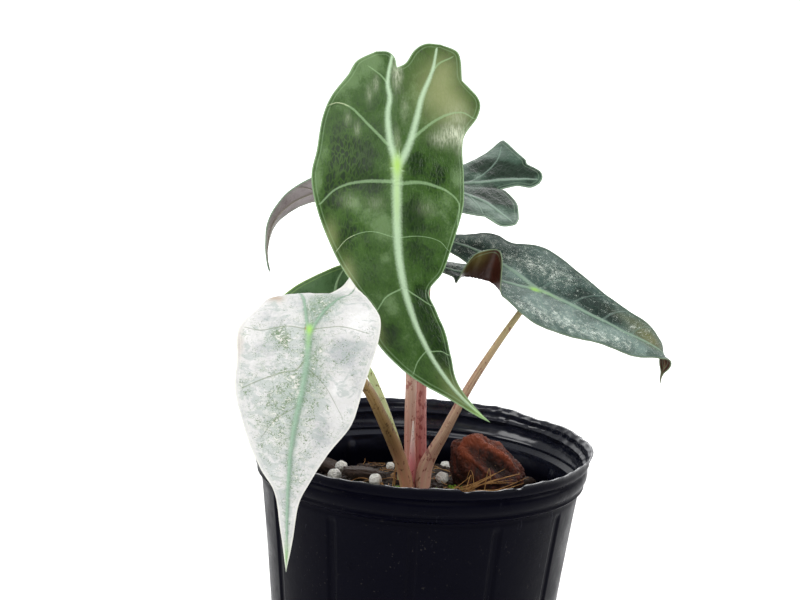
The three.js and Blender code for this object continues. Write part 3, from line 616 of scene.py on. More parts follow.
def make_blade(name, leaf, material):
    flat, faces = sheet_faces(leaf)
    along, across, lift = flat.T
    margins = [stroke(marks, parts)[:, :3] * [1, sign, 0] + [0, 0, 1] for side, sign in SIDES
               for marks, parts in ((leaf["outline"][side], 300), (notch_marks(leaf, side), 40))]
    edge = distance_to(flat[:, :2], margins)[0]
    rib_gap, rib_side, rib_width = distance_to(flat[:, :2], [vein_stroke(path) for path in leaf["ribs"]])
    vein_gap, vein_side, vein_width = distance_to(flat[:, :2], [vein_stroke(path) for path in leaf["laterals"]])

    puff = QUILT * np.minimum(1, np.minimum(rib_gap, vein_gap) / 5.0) * np.minimum(1, edge / 4.0)
    ridge = 0.25 * np.exp(-(rib_gap / rib_width / 0.9) ** 2)
    middle = lay_out(leaf, along, across, lift + blade_waves(leaf, along, across))
    normal = surface_normals(middle, faces)
    half = 0.5 * (MARGIN_THICKNESS + (BLADE_THICKNESS - MARGIN_THICKNESS) * np.minimum(1, edge / 6))
    upper = middle + normal * (half + puff + ridge)[:, None]
    lower = middle - normal * (half - puff * 0.8)[:, None]

    count, rim = len(flat), {}
    for face in faces:
        for a, b in zip(face, face[1:] + face[:1]):
            if rim.pop((b, a), None) is None:
                rim[(a, b)] = True
    closed = faces + [[v + count for v in reversed(face)] for face in faces]
    closed += [[b, a, a + count, b + count] for a, b in rim]
    blade = make_object(name, np.vstack([upper, lower]) * MM, closed, material)

    values = {"flat": flat * [1, 1, 0], "rib": rib_gap, "rib_side": rib_side, "rib_width": rib_width,
              "vein": vein_gap, "vein_side": vein_side, "vein_width": vein_width, "edge": edge}
    for mark, spots in leaf["spots"].items():
        values[mark] = sum(strength * np.exp(-((along - s) / long) ** 2 - ((across - t) / wide) ** 2)
                           for s, t, long, wide, strength in spots)
    for mark, amounts in values.items():
        write_values(blade, mark, np.concatenate([amounts, amounts]))
    write_values(blade, "underside", np.repeat([0, 1], count))
    smooth_faces(blade, 50)
    return blade

# %% [markdown]
# ## How a leaf is coloured
# Four effects are shared by all five leaves, so each is a group with named inputs. Markings turns
# the distances on the blade into masks for ribs, side veins and the pale line along the margin,
# each with a soft edge. Mottling mixes three greens in cloudy patches. The fine net is a cell
# pattern whose borders are the smallest veins. Flecks are small torn spots and streaks without
# green, as variegated plants have.

# %% Shader groups for leaves
def vein_share(name):
    """Distance from a vein's middle as a share of its half width, sharp even between the points."""
    off_line = maths("MAXIMUM", maths("ABSOLUTE", stored(name + "_side")), stored(name) - 0.8)
    return off_line / stored(name + "_width")


given = open_group("leaf_markings", {"Rib Softness": 0.5, "Margin Width": 0.5})
edge, flat = stored("edge"), stored("flat", "Vector")
wander = (grain(flat, 1.1) - 0.5) * 0.9
rib = vein_share("rib") + wander
rib_mask = step(rib, 1.0 - given["Rib Softness"], 1.0 + given["Rib Softness"], 1.0, 0.0)
side_mask = step(vein_share("vein") + wander, 0.4, 1.3, 1.0, 0.0)
feather = grain(stretch(flat, 1.0, 0.35, 1.0), 0.9, 3.0) * 3.0
margin = step(edge, given["Margin Width"] * 0.5, given["Margin Width"], 1.0, 0.0)
inner_line = step(maths("ABSOLUTE", edge - 1.7), 0.1, 0.4, 1.0, 0.0) * 0.4
leaf_markings = close_group({
    "Rib": rib_mask, "Halo": step(rib + feather, 1.2, 5.2, 1.0, 0.0), "Side Vein": side_mask,
    "Margin": maths("MAXIMUM", margin, inner_line), "Height": rib_mask + side_mask * 0.5})

given = open_group("leaf_mottling", {"Flat": "vector", "Dark": "colour", "Middle": "colour", "Light": "colour",
                                     "Patch Scale": 0.08, "Shade": 0.0})
wide = grain(given["Flat"], given["Patch Scale"], 5.0, 0.6, 0.4)
fine = grain(given["Flat"], given["Patch Scale"] * 9.0, 4.0, 0.65, 0.2)
cloud = wide * 0.7 + fine * 0.3 + given["Shade"] * 0.36
darker = blend(step(cloud, 0.3, 0.52), given["Dark"], given["Middle"])
leaf_mottling = close_group({"Colour": blend(step(cloud, 0.5, 0.78), darker, given["Light"]), "Cloud": cloud})

given = open_group("vein_net", {"Flat": "vector", "Cell Scale": 0.4, "Line Width": 0.12, "Along": 1.0,
                                "Across": 0.55})
bent = put("ShaderNodeTexNoise", {"Vector": given["Flat"], "Scale": 0.25}, "Color")
moved = vector_maths("ADD", stretch(bent, 2.4, 2.4, 0), given["Flat"])
shape = put("ShaderNodeCombineXYZ", {0: given["Along"], 1: given["Across"], 2: 1.0})
shaped = vector_maths("MULTIPLY", moved, shape)
cells = put("ShaderNodeTexVoronoi", {"Vector": shaped, "Scale": given["Cell Scale"]}, "Distance",
            feature="DISTANCE_TO_EDGE")
vein_net = close_group({"Net": step(cells, 0.0, given["Line Width"], 1.0, 0.0)})

given = open_group("flecks", {"Flat": "vector", "Fleck Scale": 0.9, "Amount": 0.5, "Across": 1.5})
clusters = grain(given["Flat"], given["Fleck Scale"] * 0.17, 3.0, 0.6)
shape = put("ShaderNodeCombineXYZ", {0: 1.0, 1: given["Across"], 2: 1.0})
torn = grain(vector_maths("MULTIPLY", given["Flat"], shape), given["Fleck Scale"], 6.0, 0.75, 0.6)
limit = 0.85 - given["Amount"] * 0.35
flecks = close_group({"Flecks": step(torn + (clusters - 0.5) * 0.5, limit, limit + 0.05)})
print("leaf groups:", [group.name for group in (leaf_markings, leaf_mottling, vein_net, flecks)])

# %% [markdown]
# Each blade gets its own material from the same groups. The upper face has the mottled green,
# then the net, the flecks, the pale veins, the lime spot where the petiole joins, and the margin.
# The underside has another colour, because in this plant it is flushed purple brown. A leaf has a
# waxy skin, so its gloss varies a little in patches, and the veins stand up as a soft bump. Marks
# that a leaf has in one place only are spots of [along, across, length, width, strength].

# %% Leaf materials
LEAF_TONES = ("dark", "middle", "light", "net", "halo", "side_vein", "rib", "lime", "margin", "warm", "silver",
              "back_dark", "back_light", "back_vein")
USUAL_LOOK = {"net_share": 0.08, "net_scale": 0.5, "net_along": 1.0, "net_across": 0.55, "patch": 0.08,
              "halo_share": 0.25, "side_share": 0.6, "rib_share": 0.75, "softness": 0.8, "margin_share": 0.7,
              "gloss": 0.3, "flecks": []}


def spot(name, share=1.0):
    return maths("MULTIPLY", stored(name), share, clamp=True)


def leaf_material(name, look):
    material, shader, _ = new_material(name, ior=1.42)
    fill(shader, {"Specular IOR Level": 0.24})
    flat = stored("flat", "Vector")
    marks = use_group(leaf_markings, {"Rib Softness": look["softness"], "Margin Width": 0.7})
    mottle = use_group(leaf_mottling, {
        "Flat": flat, "Dark": look["dark"], "Middle": look["middle"], "Light": look["light"],
        "Patch Scale": look["patch"], "Shade": stored("shade")})
    net = use_group(vein_net, {"Flat": flat, "Cell Scale": look["net_scale"], "Line Width": 0.22,
                               "Along": look["net_along"], "Across": look["net_across"]})["Net"]
    # The warm and silver spots are partly the leaf's own tints and partly painted light: on the main leaf they paint
    # its pale olive sheen and its glare, as painted highlights.
    skin = blend(spot("warm"), mottle["Colour"], look["warm"])
    streaks = step(grain(stretch(flat, 0.35, 1.5, 1.0), 0.9, 5.0, 0.7), 0.36, 0.62, 0.3, 1.0)
    skin = blend(spot("silver", streaks), skin, look["silver"])
    skin = blend(maths("MULTIPLY", net, look["net_share"] + stored("netted"), clamp=True), skin, look["net"])
    inland = step(stored("edge"), 0.5, 2.2)
    for tone, scale, amount, share, across in look["flecks"]:
        spots = use_group(flecks, {"Flat": flat, "Fleck Scale": scale, "Amount": amount + stored("flecked") * 0.6,
                                   "Across": across})["Flecks"]
        skin = blend(spots * inland * share, skin, colour(*tone))
    uneven = step(grain(flat, 1.7, 5.0, 0.7), 0.38, 0.6, 0.45, 1.0)
    for share, tone in ((marks["Halo"] * look["halo_share"] * uneven, "halo"),
                        (marks["Side Vein"] * look["side_share"], "side_vein"),
                        (marks["Rib"] * look["rib_share"], "rib"), (spot("lime"), "lime"),
                        (marks["Margin"] * look["margin_share"], "margin")):
        skin = blend(share, skin, look[tone])
    back = blend(step(mottle["Cloud"], 0.35, 0.65), look["back_dark"], look["back_light"])
    for share, tone in ((spot("olive"), "back_vein"), (marks["Side Vein"] * 0.35, "back_vein"),
                        (marks["Rib"] * 0.6, "back_vein"), (marks["Margin"], "margin")):
        back = blend(share, back, look[tone])
    gloss = step(mottle["Cloud"], 0.3, 0.7, look["gloss"], look["gloss"] + 0.18) + marks["Rib"] * 0.1
    relief = marks["Height"] + net * 0.22 + grain(flat, 2.2) * 0.25
    dress(shader, blend(stored("underside"), skin, back), gloss, relief, 0.00035, 0.8)
    return material


LEAF_LOOKS = {
    "main": (
        [(12, 36, 1), (40, 68, 18), (84, 108, 68), (70, 104, 28), (92, 122, 74), (136, 166, 122), (168, 192, 160),
         (150, 186, 92), (136, 164, 124), (128, 134, 92), (178, 184, 160), (104, 112, 86), (136, 146, 112),
         (166, 180, 138)],
        {"net_share": 0.1, "net_along": 0.36, "net_across": 1.0, "net_scale": 0.75, "patch": 0.1, "halo_share": 0.3,
         "side_share": 0.5, "rib_share": 0.8, "softness": 0.85, "margin_share": 0.6}),
    "flecked": (
        [(24, 38, 33), (54, 72, 66), (102, 121, 114), (84, 108, 96), (88, 112, 98), (100, 124, 112),
         (128, 152, 132), (140, 186, 84), (106, 122, 94), (92, 92, 54), (136, 148, 144), (34, 14, 8), (58, 28, 20),
         (84, 76, 38)],
        {"side_share": 0.35, "margin_share": 0.5, "flecks": [
            ((128, 142, 132), 0.9, 0.64, 0.5, 1.4), ((196, 204, 194), 1.6, 0.7, 0.85, 1.6),
            ((206, 212, 200), 2.8, 0.68, 0.75, 1.3)]}),
    "white": (
        [(164, 166, 168), (195, 194, 193), (213, 212, 211), (172, 176, 162), (92, 124, 98), (104, 122, 82),
         (134, 162, 140), (150, 196, 96), (212, 212, 202), (150, 122, 92), (92, 122, 92), (184, 176, 174),
         (204, 198, 192), (164, 178, 148)],
        {"net_share": 0.12, "patch": 0.11, "halo_share": 0.75, "side_share": 0.5, "margin_share": 0.6, "gloss": 0.42,
         "softness": 0.9, "flecks": [
             ((150, 160, 156), 0.3, 0.95, 0.55, 0.5), ((122, 142, 118), 0.8, 0.76, 0.6, 0.6),
             ((92, 114, 76), 1.7, 0.72, 0.8, 0.8), ((214, 210, 206), 0.8, 0.6, 0.8, 0.6)]}),
    "back": (
        [(14, 33, 19), (50, 72, 58), (116, 134, 122), (74, 96, 82), (84, 106, 92), (112, 134, 120), (132, 154, 138),
         (150, 180, 130), (124, 146, 122), (96, 96, 70), (142, 154, 148), (116, 104, 104), (146, 138, 138),
         (140, 134, 112)],
        {"patch": 0.13}),
    "left": (
        [(42, 66, 38), (70, 98, 62), (104, 128, 90), (72, 104, 62), (80, 108, 74), (104, 136, 96), (124, 152, 112),
         (140, 180, 90), (140, 170, 90), (100, 110, 60), (120, 138, 110), (70, 52, 44), (96, 74, 64),
         (116, 110, 80)],
        {"net_share": 0.1, "rib_share": 0.9, "softness": 0.5}),
}
SPOTS = {
    "main": {
        "lime": [(1.5, 0, 4.5, 2, 0.85), (14, 0, 14, 1.1, 0.4), (120, 0, 5, 3, 0.6)],
        "shade": [
            (-2, -15, 6, 5, -1), (0, -25, 11, 8, -0.7), (8, -18, 8, 6, -0.5), (16, -27, 6, 4, -0.9),
            (0, 9, 5, 4, -0.8), (3, 19, 5, 4, -0.7), (24, 7, 7, 5, -0.9), (71, 5, 9, 4, -1), (86, 4, 8, 4, -1),
            (71, -9, 5, 4, -0.6), (60, 8, 6, 4, -0.6), (-10, -26, 6, 5, -0.6), (40, 8, 7, 5, -0.5),
            (30, -20, 8, 5, -0.5), (12, -10, 6, 5, -0.6), (50, -9, 7, 5, -0.4), (-47, -12, 6, 5, 1),
            (-39, -20, 6, 5, 0.8), (18, 22, 8, 4, 0.4), (4, 27, 6, 4, 0.6), (-5, -30, 7, 2.5, 1.1),
            (9, -33, 7, 2.5, 1.1), (29, -6, 8, 4, 0.5), (60, -8, 7, 4, 0.4), (24, -12, 8, 5, 0.3),
            (-30, 8, 8, 5, 0.5), (46, -6, 6, 3, 0.6), (75, -6, 5, 3, 0.6), (15, 13, 5, 3, 0.4),
            (19, -17, 6, 3, 0.5), (18, -20, 4, 3, 0.4)],
        # These warm and silver spots paint the upper lobe's sheen and the glare, as painted highlights.
        "warm": [(-36, 18, 14, 10, 0.75), (-28, 27, 9, 7, 0.5), (-48, 22, 8, 6, 0.4), (32, -28, 6, 3, 0.6),
                 (47, -22, 6, 3, 0.7), (69, -17, 6, 3, 0.5), (106, 0, 10, 4, 0.5)],
        "silver": [
            (-17, 25, 3.2, 5, 0.9), (-14, 30, 5, 3.5, 0.9), (-13, 19.5, 3, 4.5, 0.6), (-24, 27, 6, 5, 0.35),
            (-37, -9, 4, 1.3, 0.4), (-32, -12, 4, 1.2, 0.35), (-15, -17, 3.5, 1.3, 0.35), (-20, -21, 3.5, 1.3, 0.3),
            (-42, 0, 7, 2, 0.7), (-25, 3, 6, 1.5, 0.25), (-10, 0, 5, 1.4, 0.3), (19, -9, 3, 4, 0.2),
            (18, -20, 3, 4, 0.25), (20, 13, 3, 4, 0.2)],
        "netted": [(4, -24, 16, 9, 0.24), (-8, -22, 10, 8, 0.14), (30, -18, 12, 8, 0.15), (12, 20, 12, 8, 0.15)]},
    "flecked": {
        "lime": [(1, -1.5, 2, 1.3, 0.95), (5, 0, 6, 0.8, 0.3)],
        "shade": [(24, 7, 9, 5, -1), (35, 5, 7, 4, -0.9), (-30, 8, 8, 6, -0.9), (-12, 4, 8, 4, 0.5),
                  (-36, 16, 7, 3, 0.5), (14, -14, 24, 11, 0.5), (50, -6, 16, 8, 0.5), (-22, 10, 6, 6, -0.5),
                  (-34, -14, 8, 8, -1)],
        "flecked": [(-10, 13, 9, 6, 0.2), (-2, 15, 9, 6, 0.15), (7, 14, 9, 6, 0.2), (-8, -22, 8, 5, 0.2),
                    (4, -20, 10, 6, 0.2), (15, -18, 10, 6, 0.2), (29, -15, 12, 5, 0.25), (44, -10, 10, 5, 0.2),
                    (-26, 20, 10, 5, 0.15), (24, 8, 10, 5, -0.15), (37, 4, 10, 4, -0.15), (-33, -16, 6, 6, -0.3),
                    (48, 7, 12, 4, 0.1)],
        "warm": [(53, 4, 7, 4, 0.75), (57, 1, 5, 3, 0.5), (45, 9, 8, 3, 0.4), (72, 0, 6, 5, 0.5)],
        "silver": [(-24, 20, 7, 3, 0.3), (2, 22, 8, 3, 0.25), (10, -8, 12, 4, 0.25)],
        "olive": [(-26, -22, 3.5, 6, 0.9)]},
    "white": {
        "lime": [(0, 0, 1.8, 1.4, 0.9), (4, 0, 4, 0.9, 0.3), (95, 0, 7, 3, 0.4)],
        "shade": [(6, 15, 5, 7, -0.4), (13, 17.5, 5, 6, -0.4), (9.5, -22, 4, 6, -0.4), (24, 14, 5, 6, -0.2),
                  (40, 10, 8, 4, -0.3), (-4, 20, 6, 6, 0.8), (24, 14, 8, 5, 0.5), (4, -26, 8, 4, 0.5)],
        "flecked": [(3, -12, 5, 4, 0.6), (5, -10, 4, 3, 0.4), (43, -10, 9, 6, 0.25), (48, -4, 9, 5, 0.2),
                    (30, -8, 8, 7, 0.25), (-12, 5, 6, 5, 0.4), (22, 5, 22, 7, 0.25), (60, 3, 12, 4, 0.25),
                    (22, -6, 10, 6, 0.3), (30, -22, 6, 5, 0.2), (8, 14, 8, 7, 0.1), (-8, 18, 8, 6, -0.3),
                    (24, 15, 9, 5, -0.35), (-14, -18, 8, 6, -0.3), (12, 0, 20, 3, 0.2)],
        "silver": [(-10, 4, 6, 4.5, 0.85), (-17, 8, 5, 4, 0.7), (-7, 0, 4, 3.5, 0.7), (-13, 1, 5, 3, 0.5),
                   (2, -13, 2.2, 4, 0.7), (6, -11, 2.2, 2.5, 0.5), (28, -4, 8, 4, 0.6), (42, 0, 10, 3, 0.5),
                   (12, 3.5, 12, 2.2, 0.7), (36, -10, 7, 4, 0.35), (25, 5, 8, 3, 0.4)],
        "warm": [(-17, -17, 3, 2.4, 0.7), (-15, -14, 2.5, 2, 0.5), (8, -29, 8, 1.4, 0.35)]},
    "back": {
        "lime": [(1, 0, 4.5, 2.2, 0.9)],
        "shade": [(-21, -17, 7, 5.5, -1.4), (-26, -13, 7, 5, -1.3), (-25, 5, 7, 4.5, -1.4), (-30, 11, 7, 5, -1.2),
                  (-40, -13, 6, 5, -1.2), (-18, -10, 4, 3, 0.9), (-24, 17, 6, 4, 0.9), (-30, 22, 5, 4, 0.5),
                  (-16, 14, 5, 4, 0.4), (-28, -24, 4, 5, 0.3), (40, 0, 25, 12, 0.6)],
        "silver": [(-24, 17, 5, 3, 0.35), (-22, -28, 5, 5, 0.45), (-34, 25, 4, 3, 0.4), (-40, 24, 3, 4, 0.45)],
        "olive": [(95, 0, 12, 5, 0.6)]},
    "left": {
        "lime": [(1, 0, 4.5, 2.2, 0.9)], "shade": [(10, 14, 10, 5, 0.5), (20, -8, 8, 5, -0.3)],
        "silver": [(0, 14, 8, 4, 0.3)]},
}

for key, leaf in LEAVES.items():
    tones, settings = LEAF_LOOKS[key]
    look = USUAL_LOOK | {tone: colour(*value) for tone, value in zip(LEAF_TONES, tones)} | settings
    leaf |= {"spots": SPOTS[key], "look": look}
    blade = make_blade(f"{key}_blade", leaf, leaf_material(f"{key}_leaf_skin", look))
    belongs(blade, f"blade_{key}", f"blade_{key}")

# %% [markdown]
# ## Stalks, ribs and threads
# Petioles, the ribs under a blade, roots and loose fibres are all round things that follow a path.
# One Geometry Nodes tree makes them: it turns the path into a curve, sweeps a circle along it at
# the thickness stored on each point, and notes how far along and around the stalk each place is,
# for the stripes. A sweep by hand would twist; the curve keeps its own steady direction.

# %% The sweep
given = open_group("sweep_a_stalk", {"Path": "shape", "Sides": 12, "Thickness Scale": 1.0, "Finish": "finish"},
                   "GeometryNodeTree")
run = put("GeometryNodeSplineParameter")
curve = put("GeometryNodeMeshToCurve", {"Mesh": given["Path"]})
curve = put("GeometryNodeStoreNamedAttribute", {"Geometry": curve, "Name": "along", "Value": run})
ring = put("GeometryNodeCurvePrimitiveCircle", {"Resolution": given["Sides"], "Radius": 1.0})
ring = put("GeometryNodeStoreNamedAttribute", {"Geometry": ring, "Name": "around", "Value": run})
radius = put("GeometryNodeInputNamedAttribute", {"Name": "thickness"}) * given["Thickness Scale"]
skin = put("GeometryNodeCurveToMesh", {"Curve": curve, "Profile Curve": ring, "Scale": radius, "Fill Caps": True})
skin = put("GeometryNodeRealizeInstances", {"Geometry": skin})
skin = put("GeometryNodeSetMaterial", {"Geometry": skin, "Material": given["Finish"]})
sweep = close_group({"Stalk": skin})


def grow(piece, group, settings):
    """Runs a Geometry Nodes tree on a piece and keeps the result as a plain mesh."""
    modifier = piece.modifiers.new(group.name, "NODES")
    modifier.node_group = group
    for item in group.interface.items_tree:
        if item.in_out == "INPUT" and item.name in settings:
            modifier[item.identifier] = settings[item.name]
    evaluated_mesh(piece)


def sweep_paths(name, paths, material, sides=12):
    """One piece from several paths, each a table of [x, y, z, radius] in millimetres."""
    points = np.vstack(paths)
    edges, start = [], 0
    for path in paths:
        edges += [(start + k, start + k + 1) for k in range(len(path) - 1)]
        start += len(path)
    piece = make_object(name, points[:, :3] * MM, [], None, edges)
    write_values(piece, "thickness", points[:, 3] * MM)
    grow(piece, sweep, {"Sides": sides, "Thickness Scale": 1.0, "Finish": material})
    tidy = bmesh.new()
    tidy.from_mesh(piece.data)
    bmesh.ops.recalc_face_normals(tidy, faces=tidy.faces)
    tidy.to_mesh(piece.data)
    tidy.free()
    smooth_faces(piece, 60)
    return piece

# %% [markdown]
# Under a blade the ribs are thick and round, because there they carry it. They follow the same
# flat lines as the pale veins above, laid out just below the middle of the sheet.

# %% Ribs under the blades
for key, leaf in LEAVES.items():
    paths = []
    for vein in leaf["ribs"] + leaf["laterals"]:
        along, across, width = vein_stroke(vein).T
        radius = np.minimum(width * 0.55, 1.1)
        below = blade_waves(leaf, along, across) - 0.15 - 0.85 * radius
        paths.append(np.column_stack([lay_out(leaf, along, across + 1e-6, below), radius]))
    finish, shader, place = new_material(f"{key}_rib_skin")
    tone = blend(grain(place, 420.0), leaf["look"]["back_vein"], leaf["look"]["back_light"])
    dress(shader, tone, 0.45, grain(place, 900.0), 0.0002)
    belongs(sweep_paths(f"{key}_blade_ribs", paths, finish, sides=10), f"blade_{key}")

# %% [markdown]
# ## Petioles
# The petioles are juicy stalks, thicker and pinker at the foot, that end at the blade. Each is one
# sweep along a smooth line through given points of [x, y, z, radius]. Fine pale stripes run
# along them and small dark dashes lie across, so the finish works on the along and around values
# rather than on plain space. Each stalk has five colours: foot, middle, top, stripes and specks.

# %% Petiole paths
PETIOLES = {
    "main": (
        [[-3.6, -0.2, 104, 2.3], [-4, -0.5, 121, 2.5], [-5.3, -1.2, 136, 2.5], [-6.1, -2, 152, 2.45],
         [-6.8, -2.5, 170, 2.4], [-9, -3, 190, 2.2], [-12.2, -3, 216, 2], [-15.6, -3.5, 241, 1.8]], 1.7,
        [(196, 128, 118), (192, 152, 132), (146, 162, 112), (222, 196, 176), (146, 76, 66)]),
    "back": (
        [[1, 3, 104, 2.3], [0.6, 3, 121, 2.5], [-0.2, 3.6, 132, 2.5], [-1.1, 4.6, 146, 2.45],
         [-1.9, 7, 163, 2.4], [-2.2, 12, 188, 2.1], [-2.2, 20, 213, 1.9], [-1.8, 27, 232, 1.7]], 1.6,
        [(190, 112, 112), (176, 112, 102), (132, 144, 106), (214, 164, 154), (130, 56, 52)]),
    "flecked": (
        [[1.2, -6.7, 104, 3.1], [1.2, -6.7, 121, 3.4], [1.9, -6.6, 129, 3.3], [4.6, -6.5, 136, 2.8],
         [8.7, -6.2, 144, 2.4], [13, -5, 153.5, 2.1], [20, -3.5, 168, 1.8], [31, -1, 187, 1.5]], 1.3,
        [(202, 150, 134), (152, 114, 92), (166, 154, 102), (204, 188, 150), (112, 50, 44)]),
    "white": (
        [[-5, -9.5, 104, 2.8], [-5.4, -9.5, 119, 3], [-8.6, -11, 131.2, 2.9], [-12, -14, 139.8, 2.8],
         [-18.2, -23.5, 155, 2.6], [-25.3, -36.5, 171, 2.3], [-36, -53, 187, 2]], 1.8,
        [(186, 130, 104), (138, 108, 66), (158, 146, 98), (176, 152, 106), (78, 54, 30)]),
    "left": (
        [[-7.6, 3, 104, 1.9], [-8, 2.8, 121, 2], [-9.6, 2, 131.5, 2], [-12.6, 1.4, 140.5, 1.9],
         [-19.8, 1, 158, 1.8], [-28, 1.5, 172.5, 1.7]], 1.5,
        [(196, 190, 132), (222, 236, 172), (196, 216, 140), (234, 244, 200), (130, 128, 68)]),
}
SHEATH = [[-3.4, -2.6, 108, 2], [-3.8, -3.6, 121, 2.1], [-4.2, -4.2, 134, 1.3], [-4.6, -4.2, 149, 0.3]]
SHEATH_TONES = [(190, 120, 118), (204, 120, 124), (238, 226, 216), (222, 170, 160), (150, 70, 70)]


def reach_joint(leaf, marks, end_radius):
    ahead, _, up = leaf_directions(leaf, np.array([0.0]))[0].T
    joint = np.array(leaf["joint"], float)
    knee = joint - up * (BLADE_THICKNESS / 2 + 4.0) + ahead * 0.4
    return [*marks, [*knee, end_radius], [*(joint - up * 0.5), end_radius * 1.15]]


given = open_group("stalk_stripes", {"Object": "vector", "Stripe": 0.5, "Speck": 0.5})
angle = stored("around") * (2 * math.pi)
ring = put("ShaderNodeCombineXYZ", {0: maths("COSINE", angle), 1: maths("SINE", angle), 2: stored("along") * 2.5})
lines = grain(stretch(ring, 5.0, 5.0, 1.0), 1.2, 4.0, 0.6)
spots = grain(stretch(given["Object"], 1.0, 1.0, 0.55), 700.0, 3.0, 0.6) + grain(given["Object"], 90.0, 2.0) * 0.35
stalk_stripes = close_group({"Stripes": step(lines, 0.42, 0.62, 0.0, given["Stripe"]),
                             "Specks": step(spots, 0.74, 0.82, 0.0, given["Speck"])})


def petiole_material(name, tones):
    foot, middle, top, pale, speck = (colour(*tone) for tone in tones)
    material, shader, place = new_material(name)
    fill(shader, {"Subsurface Weight": 0.12, "Subsurface Radius": (0.003, 0.0015, 0.001)})
    along = stored("along")
    body = blend(step(along, 0.5, 0.95), blend(step(along, 0.12, 0.4), foot, middle), top)
    marks = use_group(stalk_stripes, {"Object": place, "Stripe": 0.4, "Speck": 0.8})
    body = blend(marks["Specks"], blend(marks["Stripes"], body, pale), speck)
    dress(shader, body, step(grain(place, 160.0), 0.3, 0.7, 0.34, 0.52), marks["Stripes"], 0.00015, 0.7)
    return material


for key, (marks, end_radius, tones) in PETIOLES.items():
    finish = petiole_material(f"{key}_petiole_skin", tones)
    path = stroke(reach_joint(LEAVES[key], marks, end_radius), 150)
    belongs(sweep_paths(f"{key}_petiole", [path], finish, sides=28), f"petiole_{key}", f"petiole_{key}")

sheath_skin = petiole_material("sheath_skin", SHEATH_TONES)
belongs(sweep_paths("main_petiole_sheath", [stroke(SHEATH, 60)], sheath_skin, sides=20), "petiole_main")

# %% [markdown]
# ## The pot
# A nursery pot is blown or pressed from thin black plastic: a tapering body with shallow grooves
# between flat panels, a stepped collar, and a thin cut rim that crinkles when it is squeezed. It
# is a turned shape with small departures, so its wall is a table of [height, radius, groove share],
# turned round the axis. The grooves and the crinkles are added as functions of the angle.

# %% Pot wall
POT_HEIGHT, POT_FLOOR, POT_WALL, RIM_WALL = 140, 2.2, 1.3, 0.9
WALL = [[0, 54, 0], [1.5, 55.5, 0], [5, 56, 1], [118, 69.4, 1], [121, 69.8, 0], [123.5, 70, 0],
        [124.8, 72, 0], [126.2, 71.6, 0], [127.6, 72.5, 0], [132.4, 73, 0], [133.6, 72.4, 0],
        [134.8, 73.4, 0], [138, 73.8, 0], [140, 74.6, 0]]
GROOVES, GROOVE_START, GROOVE_DEPTH = 12, -92, 0.8
GROOVE_STEP = 360 // GROOVES
CRINKLES_FROM, RIM_FROM, TEARS_FROM = 126, 134, 138.5

near_groove = [-2.6, *np.linspace(-2, 2, 11), *np.linspace(2.6, 27.4, 25)[:-1]]
angles = np.array([GROOVE_START + GROOVE_STEP * k + at for k in range(GROOVES) for at in near_groove])
turn = np.radians(angles)
off_groove = np.abs((angles - GROOVE_START + GROOVE_STEP / 2) % GROOVE_STEP - GROOVE_STEP / 2)
groove = np.clip(2 - off_groove, 0, 1) * GROOVE_DEPTH
crushed = np.exp(-(((angles - GROOVE_START) % 360 - 132) / 52) ** 2)
torn = (0.35 * np.abs(np.sin(turn * 23)) + 1.2 * np.exp(-((angles + 76) / 1.6) ** 2)
        + 1.3 * np.exp(-((angles + 57) / 1.5) ** 2))


def wall_ring(height, inset=0.0):
    """One ring of the wall, with grooves, the uneven rim, its crinkles and its tears."""
    groove_share = np.interp(height, [row[0] for row in WALL], [row[2] for row in WALL])
    near_rim = max(0.0, (height - RIM_FROM) / (POT_HEIGHT - RIM_FROM))
    wave = near_rim * (0.5 * np.sin(turn * 5 + 1) + 0.35 * np.sin(turn * 11 + 2))
    high_up = min(max(0.0, (height - CRINKLES_FROM) / 10), 1.0)
    folds = np.abs(np.sin(turn * 17 + 3 * np.sin(turn * 3))) + 0.6 * np.abs(np.sin(turn * 31 + height * 0.35))
    crinkle = crushed * high_up * 0.55 * (folds - 0.9)
    rise = height + near_rim * (0.3 * np.sin(turn * 7) + 0.25 * np.sin(turn * 13 + 1) - 0.5)
    rise = rise - max(0.0, (height - TEARS_FROM) / (POT_HEIGHT - TEARS_FROM)) * torn
    return ring_at(keyed(WALL, height, 1) - inset - groove_share * groove + wave + crinkle, turn, rise)


heights = np.unique(np.concatenate([
    np.linspace(0, 5, 6), np.linspace(5, 116, 40), np.linspace(116, 124, 11), np.linspace(124, POT_HEIGHT, 34)]))
rings = [wall_ring(height) for height in heights]
for height in heights[heights >= POT_FLOOR][::-1]:
    rings.append(wall_ring(height, RIM_WALL + (POT_WALL - RIM_WALL) * min(1.0, (POT_HEIGHT - height) / 2)))
rings.append(ring_at(keyed(WALL, POT_FLOOR, 1) - POT_WALL, turn, POT_FLOOR))
count = len(angles)
points = np.vstack(rings + [[[0, 0, 0], [0, 0, POT_FLOOR]]])
base, top = len(points) - 2, len(points) - 1
faces = ring_quads(0, len(rings) - 1, count) + fan(base, 0, count, True) + fan(top, base - count, count)
pot = make_object("pot_wall", points * MM, faces, None)
is_inner = np.arange(len(points)) >= len(heights) * count
is_inner[base] = False
write_values(pot, "inner", is_inner)

# %% [markdown]
# Water leaves through eight round holes near the edge of the base. They are cut with a boolean,
# as a punch would, which keeps their edges crisp.

